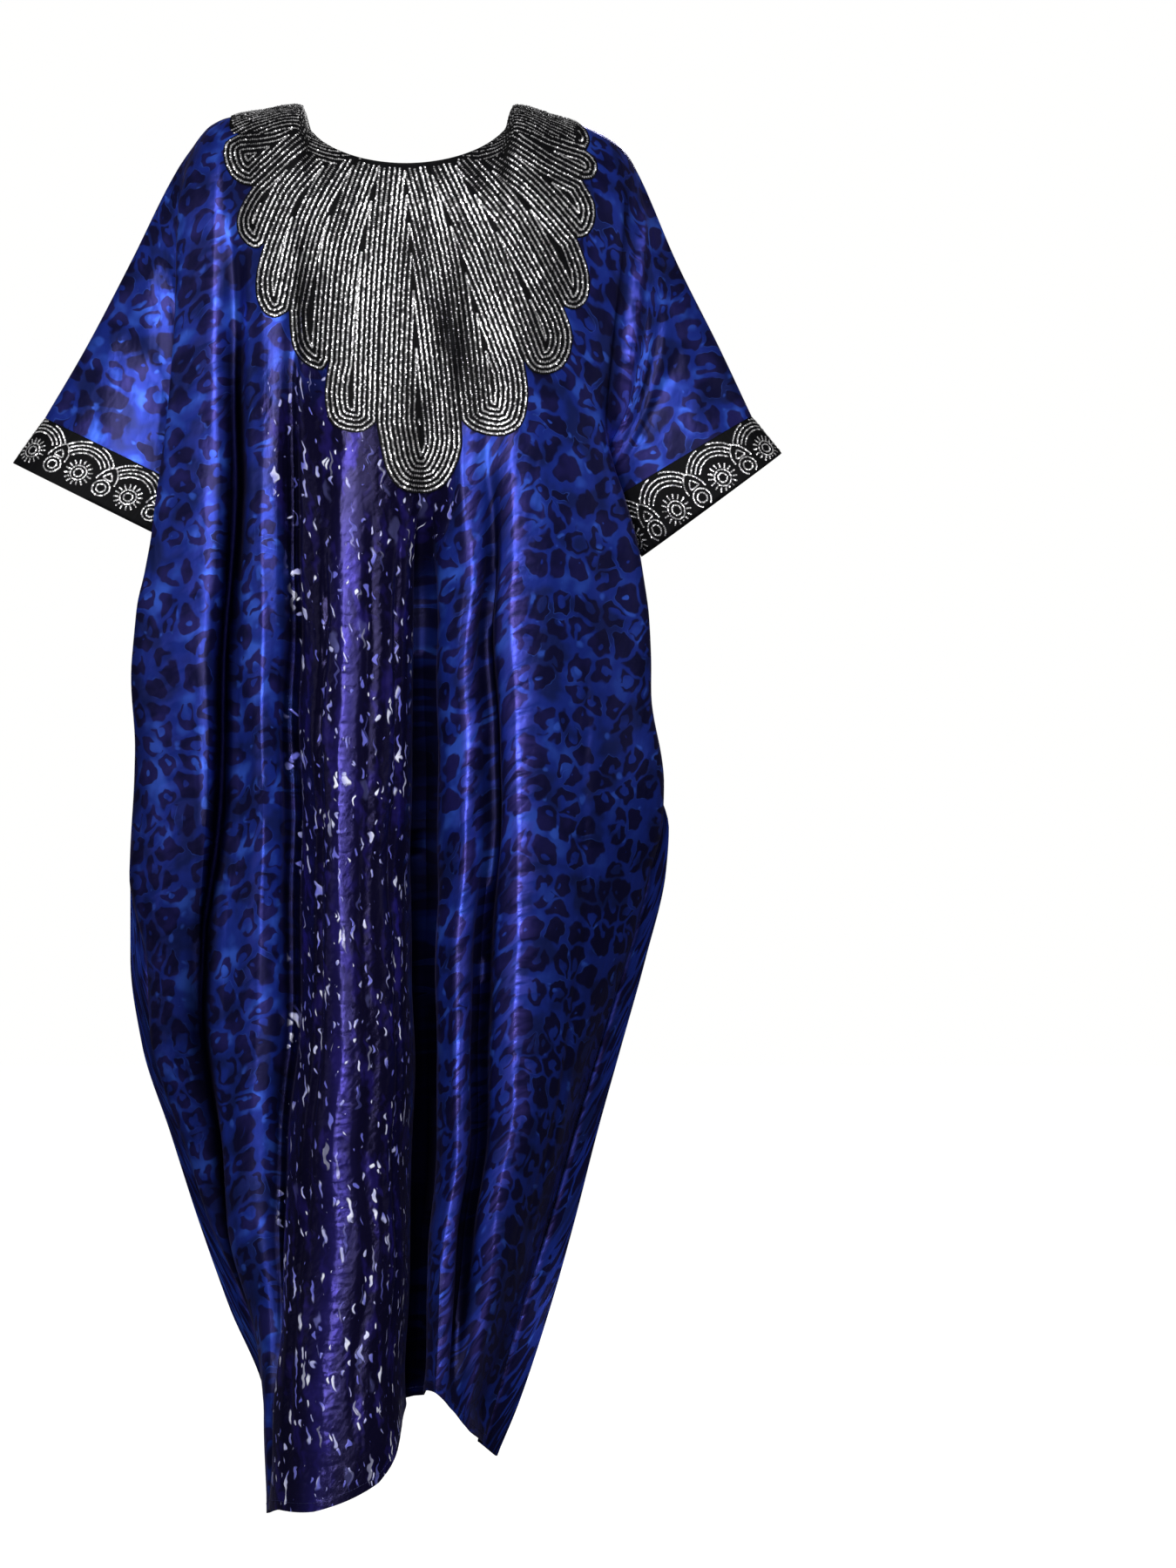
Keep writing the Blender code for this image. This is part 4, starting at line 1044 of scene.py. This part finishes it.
bib = {
    "wall": 1.2, "rowPitch": 5.0, "firstRow": 2.8, "lastRow": 60, "step": 2.2, "neckClear": 2.4,
    "firstShoulderRow": 3.5,
    "sequin": {"size": 2.45, "lean": 8, "scatter": 11, "lift": 0.55, "stray": 0.20, "dish": 0.22,
               "sides": 7},
    # stretches of painted glare and painted fold shade on the sequins: x, drop, half width, half
    # height, lean of its axis, strength
    "paintedLights": ((36, 112, 84, 13, 0, 0.75), (-20, 84, 60, 8, 0, 0.35),
              (44, 240, 17, 66, 0.42, -0.80), (-106, 215, 12, 55, 0, -0.40),
              (100, 220, 18, 34, 0, 0.30), (-50, 190, 12, 70, -0.1, 0.30),
              (-20, 250, 10, 80, 0.1, 0.22), (20, 330, 26, 40, 0, -0.30)),
}


def bendFlat(points, count):
    points = np.asarray(points, float)
    solid = np.concatenate((points, np.zeros((len(points), 1))), axis=1)[None]
    return bendThrough(solid, [count] * (len(points) - 1))[0, :, :2]


def neckAt(share):
    reach, fall = robe["neckFront"]
    share = np.asarray(share, float)
    return np.stack((-robe["neckHalfWidth"] * np.cos(np.pi * share),
                     fall * np.sin(np.pi * share)), axis=-1)


def scallopEdges(fine):
    edges = []
    for i, scallop in enumerate(bibScallops):
        points = list(scallop)
        if i + 1 < len(bibScallops):
            points.append(bibScallops[i + 1][0])
        edges.append(bendFlat(points, fine))
    return edges


def bibPiece():
    edges = scallopEdges(4)
    outline = np.concatenate([edge[:-1] for edge in edges[:-1]] + [edges[-1]])
    outline = np.concatenate((outline, [(outline[-1][0], -60), (outline[0][0], -60)]))
    first = cloth["sleeve"] + cloth["tuck"] - 2
    rows = underRow + cloth["lower"] * 2
    top = frontPoints[:rows, first:-first]
    out = frontNormal[:rows, first:-first]
    inner = top + out * robe["seamGap"] * mm
    outer = top + out * (robe["seamGap"] + bib["wall"]) * mm
    count = outer.shape[:2]
    vertices = np.concatenate((outer.reshape(-1, 3), inner.reshape(-1, 3)))
    faces = np.concatenate((gridFaces(*count, 0, True),
                            gridFaces(*count, len(vertices) // 2, False), rimFaces(*count, True)))
    slab = makeMesh("bibSlab", vertices, faces)
    ring = [(x * mm, -drop * mm) for x, drop in outline]
    size = len(ring)
    solid = [(x, y, z) for y in (-0.3, 0.03) for x, z in ring]
    sides = [tuple(range(size)), tuple(range(2 * size - 1, size - 1, -1))]
    sides += [((i + 1) % size, i, size + i, size + (i + 1) % size) for i in range(size)]
    cutter = makeMesh("bibCutter", solid, sides, smooth=False)
    cut = slab.modifiers.new("scallops", "BOOLEAN")
    cut.operation = "INTERSECT"
    cut.solver = "EXACT"
    cut.object = cutter
    graph = bpy.context.evaluated_depsgraph_get()
    shaped = bpy.data.meshes.new_from_object(slab.evaluated_get(graph))
    tree = BVHTree.FromPolygons(outer.reshape(-1, 3).tolist(), gridFaces(*count, 0, True).tolist())
    for helper in (slab, cutter):
        bpy.data.objects.remove(helper, do_unlink=True)
    shaped.name = "neckBibCloth"
    made = bpy.data.objects.new("neckBibCloth", shaped)
    bpy.context.scene.collection.objects.link(made)
    shaped.shade_smooth()
    shaped.set_sharp_from_angle(angle=math.radians(40))
    where = np.zeros(len(shaped.vertices) * 3)
    shaped.vertices.foreach_get("co", where)
    where = where.reshape(-1, 3)
    setNumbers(made, "flatPlace", np.stack((where[:, 0], where[:, 2], where[:, 1] * 0), axis=1))
    shaped.materials.clear()
    shaped.materials.append(blackCloth("bibCloth", trim["roughness"]))
    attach(made, "root")
    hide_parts("neck_bib")
    return made, tree


def bibPaintedLight(x, drop):
    # painted light on the sequins: some random unevenness, then the painted glare band and the
    # painted fold shade
    paintedLight = 0.78 + 0.6 * (valueNoise(x / 17 + 90, drop / 40 + 90, 41) - 0.5)
    for midX, midDrop, wide, tall, lean, strength in bib["paintedLights"]:
        across = (x - midX - lean * (drop - midDrop)) / wide
        paintedLight += strength * np.exp(-across ** 2 - ((drop - midDrop) / tall) ** 2)
    return np.clip(paintedLight, 0.06, 1.5)


def sequinRows():
    # rows at equal distances inside each scallop: down one seam, round the tip, up the other
    edges = scallopEdges(30)
    neckLine = neckAt(np.linspace(0, 1, 400))
    rows = []
    for i, edge in enumerate(edges):
        sides = []
        for corner, (middle, share) in ((edge[0], bibSeams[i]), (edge[-1], bibSeams[i + 1])):
            sides.append(bendFlat([neckAt(share), middle, corner], 60))
        border = np.concatenate((sides[0][:-1], edge, sides[1][-2::-1]))
        lengths = distances(border)
        border = alongLine(np.arange(0, lengths[-1], 0.8), lengths, border)
        ahead = unit(np.roll(border, -2, axis=0) - np.roll(border, 2, axis=0))
        ahead[:2] = unit(border[3] - border[0])
        ahead[-2:] = unit(border[-1] - border[-4])
        inward = np.stack((ahead[:, 1], -ahead[:, 0]), axis=1)
        middle = border.mean(axis=0)
        if ((middle - border) * inward).sum() < 0:
            inward = -inward
        distance = bib["firstRow"]
        while distance < bib["lastRow"]:
            line = border + inward * distance
            gap = np.linalg.norm(line[:, None] - border[None], axis=2).min(axis=1)
            fromNeck = np.linalg.norm(line[:, None] - neckLine[None], axis=2).min(axis=1)
            below = line[:, 1] > np.interp(line[:, 0], neckLine[:, 0], neckLine[:, 1])
            beyond = np.abs(line[:, 0]) > robe["neckHalfWidth"]
            kept = (gap > distance - 0.25) & (fromNeck > bib["neckClear"]) & (below | beyond)
            if not kept.any():
                break
            run = []
            for point, keep in zip(line, kept):
                if keep and (not run or np.linalg.norm(point - run[-1]) < 3.0):
                    run.append(point)
                elif keep:
                    rows.append(run)
                    run = [point]
            rows.append(run)
            distance += bib["rowPitch"]
    return [row for row in rows if len(row) > 4]


neckBib, bibTree = bibPiece()
corners = bibScallops[0][0][0], bibScallops[-1][-1][0]
sewn = []


def sewDown(start, aim, fits, along):  # a sequin where the line from start meets the bib
    hit, normal, _, _ = bibTree.ray_cast(Vector(start), Vector(aim))
    if hit is not None and fits(normal):
        sewn.append((hit, normal if normal.dot(aim) < 0 else -normal, along))


def onTop(normal):
    return abs(normal.z) > abs(normal.y)


for row in sequinRows():
    for (x, drop), (dx, dDrop) in zip(*walk(row, bib["step"])):
        between = corners[0] < x < corners[1]
        sewDown((x * mm, -0.5, -drop * mm), Vector((0, 1, 0)),
                lambda normal: not (onTop(normal) and between), (dx, 0, -dDrop))
# over the shoulders the rows go on towards the seam, from the neck to the outer edge
for deep in np.arange(bib["firstShoulderRow"], robe["neckFront"][0], bib["rowPitch"]):
    inside = robe["neckHalfWidth"] * math.sqrt(1 - (deep / robe["neckFront"][0]) ** 2)
    for corner, side in zip(corners, (-1, 1)):
        for x in side * np.arange(inside + bib["neckClear"], abs(corner) - bib["neckClear"],
                                  bib["step"]):
            sewDown((x * mm, -deep * mm, 0.2), Vector((0, 0, -1)), onTop, (1, 0, 0))
places, normals, alongs = (np.array(part, float) for part in zip(*sewn))
print("bib", round(clothArea(neckBib), 4))
bibSequins = sewOn("bibSequins", places, normals, alongs, bib["sequin"], sequins, 21,
                   bibPaintedLight(places[:, 0] / mm, -places[:, 2] / mm))


# Neck binding

binding = {"radius": 1.4, "gap": 0.3, "around": 12}


def bindingPiece():
    edges = []
    for points, normal in ((frontPoints, frontNormal), (backPoints, backNormal)):
        inside = np.abs(points[0, :, 0]) <= robe["neckHalfWidth"] * mm + 1e-6
        edges.append((points[0, inside].copy(), normal[0, inside].copy()))
    (front, frontOut), (back, backOut) = edges
    loop = np.concatenate((front, back[-2:0:-1]))
    out = np.concatenate((frontOut, backOut[-2:0:-1]))
    for i in (0, len(front) - 1):
        loop[i, 1] = 0
        out[i] = (0, 0, 1)
    along = unit(np.roll(loop, -1, axis=0) - np.roll(loop, 1, axis=0))
    out = unit(out - (out * along).sum(1)[:, None] * along)
    opening = np.cross(along, out)
    opening *= np.sign((opening * (loop.mean(axis=0) - loop)).sum(1))[:, None]
    centre = loop + opening * (binding["radius"] + binding["gap"]) * mm
    turn = 2 * math.pi * np.arange(binding["around"]) / binding["around"]
    rings = (centre[:, None] + (out[:, None] * np.sin(turn)[None, :, None]
                                + opening[:, None] * np.cos(turn)[None, :, None])
             * binding["radius"] * mm)
    count = len(loop)
    at = np.arange(count * binding["around"]).reshape(count, -1)
    faces = np.stack((at, np.roll(at, -1, 0), np.roll(np.roll(at, -1, 0), -1, 1),
                      np.roll(at, -1, 1)), axis=-1)
    half = binding["around"] // 2
    faces = np.delete(faces, (half - 1, half), axis=1).reshape(-1, 4)
    made = makeMesh("neckBindingCloth", rings.reshape(-1, 3), faces)
    far = distances(loop)
    flat = np.stack((np.repeat(far, binding["around"]), np.tile(turn * 0.002, count),
                     np.zeros(count * binding["around"])), axis=1)
    setNumbers(made, "flatPlace", flat)
    made.data.materials.append(blackCloth("bindingCloth", trim["bindingRoughness"]))
    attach(made, "root")
    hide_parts("neck_binding")
    print("binding", round(far[-1], 3), "m long")
    return made


neckBinding = bindingPiece()


# Cuffs: bands that carry on the sleeves, with arches over suns and small rings between

cuffs = {
    "rows": 16, "firstSun": 20.0, "lastSun": 35.0, "sunPitch": 57.0, "sunDepth": 35.5, "step": 1.6,
    "arches": (34.5, 30.3, 26.1, 21.9), "archFrom": 38, "archTo": 142,
    "sequin": {"size": 1.8, "lean": 8, "scatter": 12, "lift": 0.4, "stray": 0.12, "dish": 0.2,
               "sides": 6},
}


def circle(x, y, radius, first=0, last=360, count=40):
    turn = np.radians(np.linspace(first, last, count))
    return np.stack((x + radius * np.cos(turn), y - radius * np.sin(turn)), axis=1)


def motif(x, deep):
    lines = [circle(x, deep, radius, cuffs["archFrom"], cuffs["archTo"])
             for radius in cuffs["arches"]]
    lines.append(circle(x, deep, 4.4))
    lines.append(circle(x, deep, 8.0))
    for turn in np.arange(16) * 22.5:
        ray = np.array((math.cos(math.radians(turn)), -math.sin(math.radians(turn))))
        lines.append(np.array([(x, deep) + ray * reach for reach in (9.6, 14.6)]))
    middle = x + cuffs["sunPitch"] / 2
    low = deep + 4.0
    lines.append(circle(middle, low, 8.6))
    lines.append(circle(middle, low, 4.6))
    lines.append(bendFlat([(middle - 10, low - 7), (middle - 7, low - 17), (middle + 1, low - 25),
                           (middle + 9, low - 16), (middle + 10, low - 7)], 8))
    lines.append(bendFlat([(middle - 5, low - 11), (middle, low - 18), (middle + 5, low - 11),
                           (middle - 5, low - 11)], 6))
    return lines


def cuffPiece(name, node, slot, cuff, left):
    column = 0 if left else -1
    front = frontBase[:underRow, column]
    back = backBase[:underRow, column]
    line = np.array(cuff["under"], float) - np.array(cuff["top"], float)
    axis = unit(np.array((-line[1] if left else line[1], 0, -abs(line[0]))))
    start = np.concatenate((front, back[-2:0:-1]))
    start[0, 1] = 0
    start[len(front) - 1, 1] = 0
    start[len(front) - 1] += unit(start[0] - start[len(front) - 1]) * robe["cuffTuck"] * mm
    start = start + axis * robe["seamGap"] * mm
    share = np.concatenate((upperFine, upperFine[-2:0:-1]))[:, None]
    topEnd, underEnd = (np.array((cuff[label][0], 0, -cuff[label][1])) * mm
                        for label in ("endTop", "endUnder"))
    end = topEnd + (underEnd - topEnd) * share
    end[:, 1] = start[:, 1] * robe["cuffSpread"]
    steps = np.linspace(0, 1, cuffs["rows"] + 1)[:, None, None]
    outer = start[None] * (1 - steps) + end[None] * steps
    along = np.roll(outer, -1, axis=1) - np.roll(outer, 1, axis=1)
    inward = unit(np.cross(along, axis))
    if ((outer.mean(axis=1, keepdims=True) - outer) * inward).sum() < 0:
        inward = -inward
    inner = outer + inward * robe["cuffWall"] * mm
    ends = np.sin(np.linspace(0, math.pi, 5))[1:-1]
    loops = list(outer)
    for k, bulge in enumerate(ends):  # the folded lower edge, a little rounded
        mix = (k + 1) / (len(ends) + 1)
        loops.append(outer[-1] * (1 - mix) + inner[-1] * mix + axis * bulge * 0.5 * mm)
    loops += list(inner[::-1])
    loops = np.array(loops)
    height, around = loops.shape[:2]
    at = np.arange(height * around).reshape(height, around)
    faces = np.stack((at, np.roll(at, -1, 1), np.roll(np.roll(at, -1, 1), -1, 0),
                      np.roll(at, -1, 0)), axis=-1).reshape(-1, 4)
    made = makeMesh(name, loops.reshape(-1, 3), faces)
    made.data.validate()
    tidy = bmesh.new()
    tidy.from_mesh(made.data)
    bmesh.ops.recalc_face_normals(tidy, faces=tidy.faces)
    tidy.to_mesh(made.data)
    tidy.free()
    made.data.set_sharp_from_angle(angle=math.radians(50))
    far = distances(start)
    flat = np.zeros((height, around, 3))
    flat[..., 0] = far[None, :]
    flat[..., 1] = np.linspace(0, 0.06, height)[:, None]
    setNumbers(made, "flatPlace", flat.reshape(-1, 3))
    made.data.materials.append(blackCloth(slot + "Black", trim["roughness"]))
    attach(made, "root")
    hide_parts(node)

    # the motifs, laid out flat as mm round the cuff and mm below the sleeve's end
    girth = distances(np.concatenate((start, start[:1]))) / mm
    half = girth[len(front) - 1]
    suns = [cuffs["firstSun"] + cuffs["sunPitch"] * k for k in range(4)]
    suns += [girth[-1] - cuffs["lastSun"] - cuffs["sunPitch"] * k for k in range(3)]
    sewn = []
    depth = np.linalg.norm(topEnd - start[0]) / mm
    rings = [np.concatenate((ring, ring[:1])) for ring in (start, end, -inward[0])]
    for sun in suns:
        for line in motif(sun, cuffs["sunDepth"]):
            spots, ahead = walk(line, cuffs["step"])
            for (s, t), (ds, dt) in zip(spots, ahead):
                s = s % girth[-1]
                if not 1.5 < t < depth - 1.5 or abs(s - half) < 4:
                    continue
                low, high, out = (alongLine(s, girth, ring) for ring in rings)
                out = unit(out)
                sewn.append((low + (high - low) * t / depth, out,
                             unit(np.cross(axis, out)) * ds + axis * dt))
    print("cuff", name, round(girth[-1]), "mm round", round(depth, 1), "deep",
          round(clothArea(made), 4))
    beads = sewOn(name + "Sequins", *(np.array(part) for part in zip(*sewn)), cuffs["sequin"],
                  sequins, 31 if left else 37)
    flat, area = cuts["cuffLeft" if left else "cuffRight"]


frontBase = panelSurface(True)
backBase = panelSurface(False)
cuffPiece("cuffLeftCloth", "cuff_left", "cuff_cloth", cuffLeft, True)
cuffPiece("cuffRightCloth", "cuff_right", "cuff_cloth", cuffRight, False)


# Studio

studio = {
    "floor": -1.50, "floorColour": (1.0, 1.0, 0.995, 1),
    "key": ((-0.95, -6.2, 0.5), (0.55, 2.4), 190.0),
    "strip": ((1.5, -6.0, 0.2), (0.3, 2.4), 55.0),
    "left": ((-3.6, -0.9, 0.4), (0.6, 2.4), 6.0),
    "right": ((3.8, -0.8, 0.4), (0.6, 2.4), 6.0),
    "back": ((0.6, 5.6, 0.9), (1.0, 2.4), 150.0),
    "top": ((0.1, -3.0, 2.3), (1.3, 0.35), 75.0),
    "fill": 0.05,
}


def softbox(name, place, size, power, target=(0, 0, -0.7)):
    light = bpy.data.lights.new(name, "AREA")
    light.shape = "RECTANGLE"
    light.size, light.size_y = size
    light.energy = power
    lamp = bpy.data.objects.new(name, light)
    lamp.location = place
    lamp.visible_camera = False
    lamp.rotation_euler = (Vector(target) - Vector(place)).to_track_quat("-Z", "Y").to_euler()
    bpy.context.scene.collection.objects.link(lamp)


for label in ("key", "strip", "left", "right", "back", "top"):
    softbox(label + "Softbox", *studio[label])

floorCorners = [(x, y, studio["floor"]) for x, y in ((-14, -14), (14, -14), (14, 14), (-14, 14))]
floorObject = makeMesh("studioFloor", floorCorners, [(0, 1, 2, 3)], smooth=False)
floorMaterial, floorShader = newMaterial("paleFloor")
fill(floorShader, {"Base Color": (0.02, 0.02, 0.02, 1), "Roughness": 0.8,
                   "Emission Color": studio["floorColour"],
                   "Emission Strength": times(put("LightPath").outputs["Is Camera Ray"], 1.0)})
floorObject.data.materials.append(floorMaterial)

world = bpy.data.worlds.new("studioWorld")
world.use_nodes = True
bpy.context.scene.world = world
drawing["tree"] = world.node_tree
seen = put("LightPath").outputs["Is Camera Ray"]
fill(world.node_tree.nodes["Background"],
     {"Color": studio["floorColour"],
      "Strength": timesPlus(seen, 1 - studio["fill"], studio["fill"])})
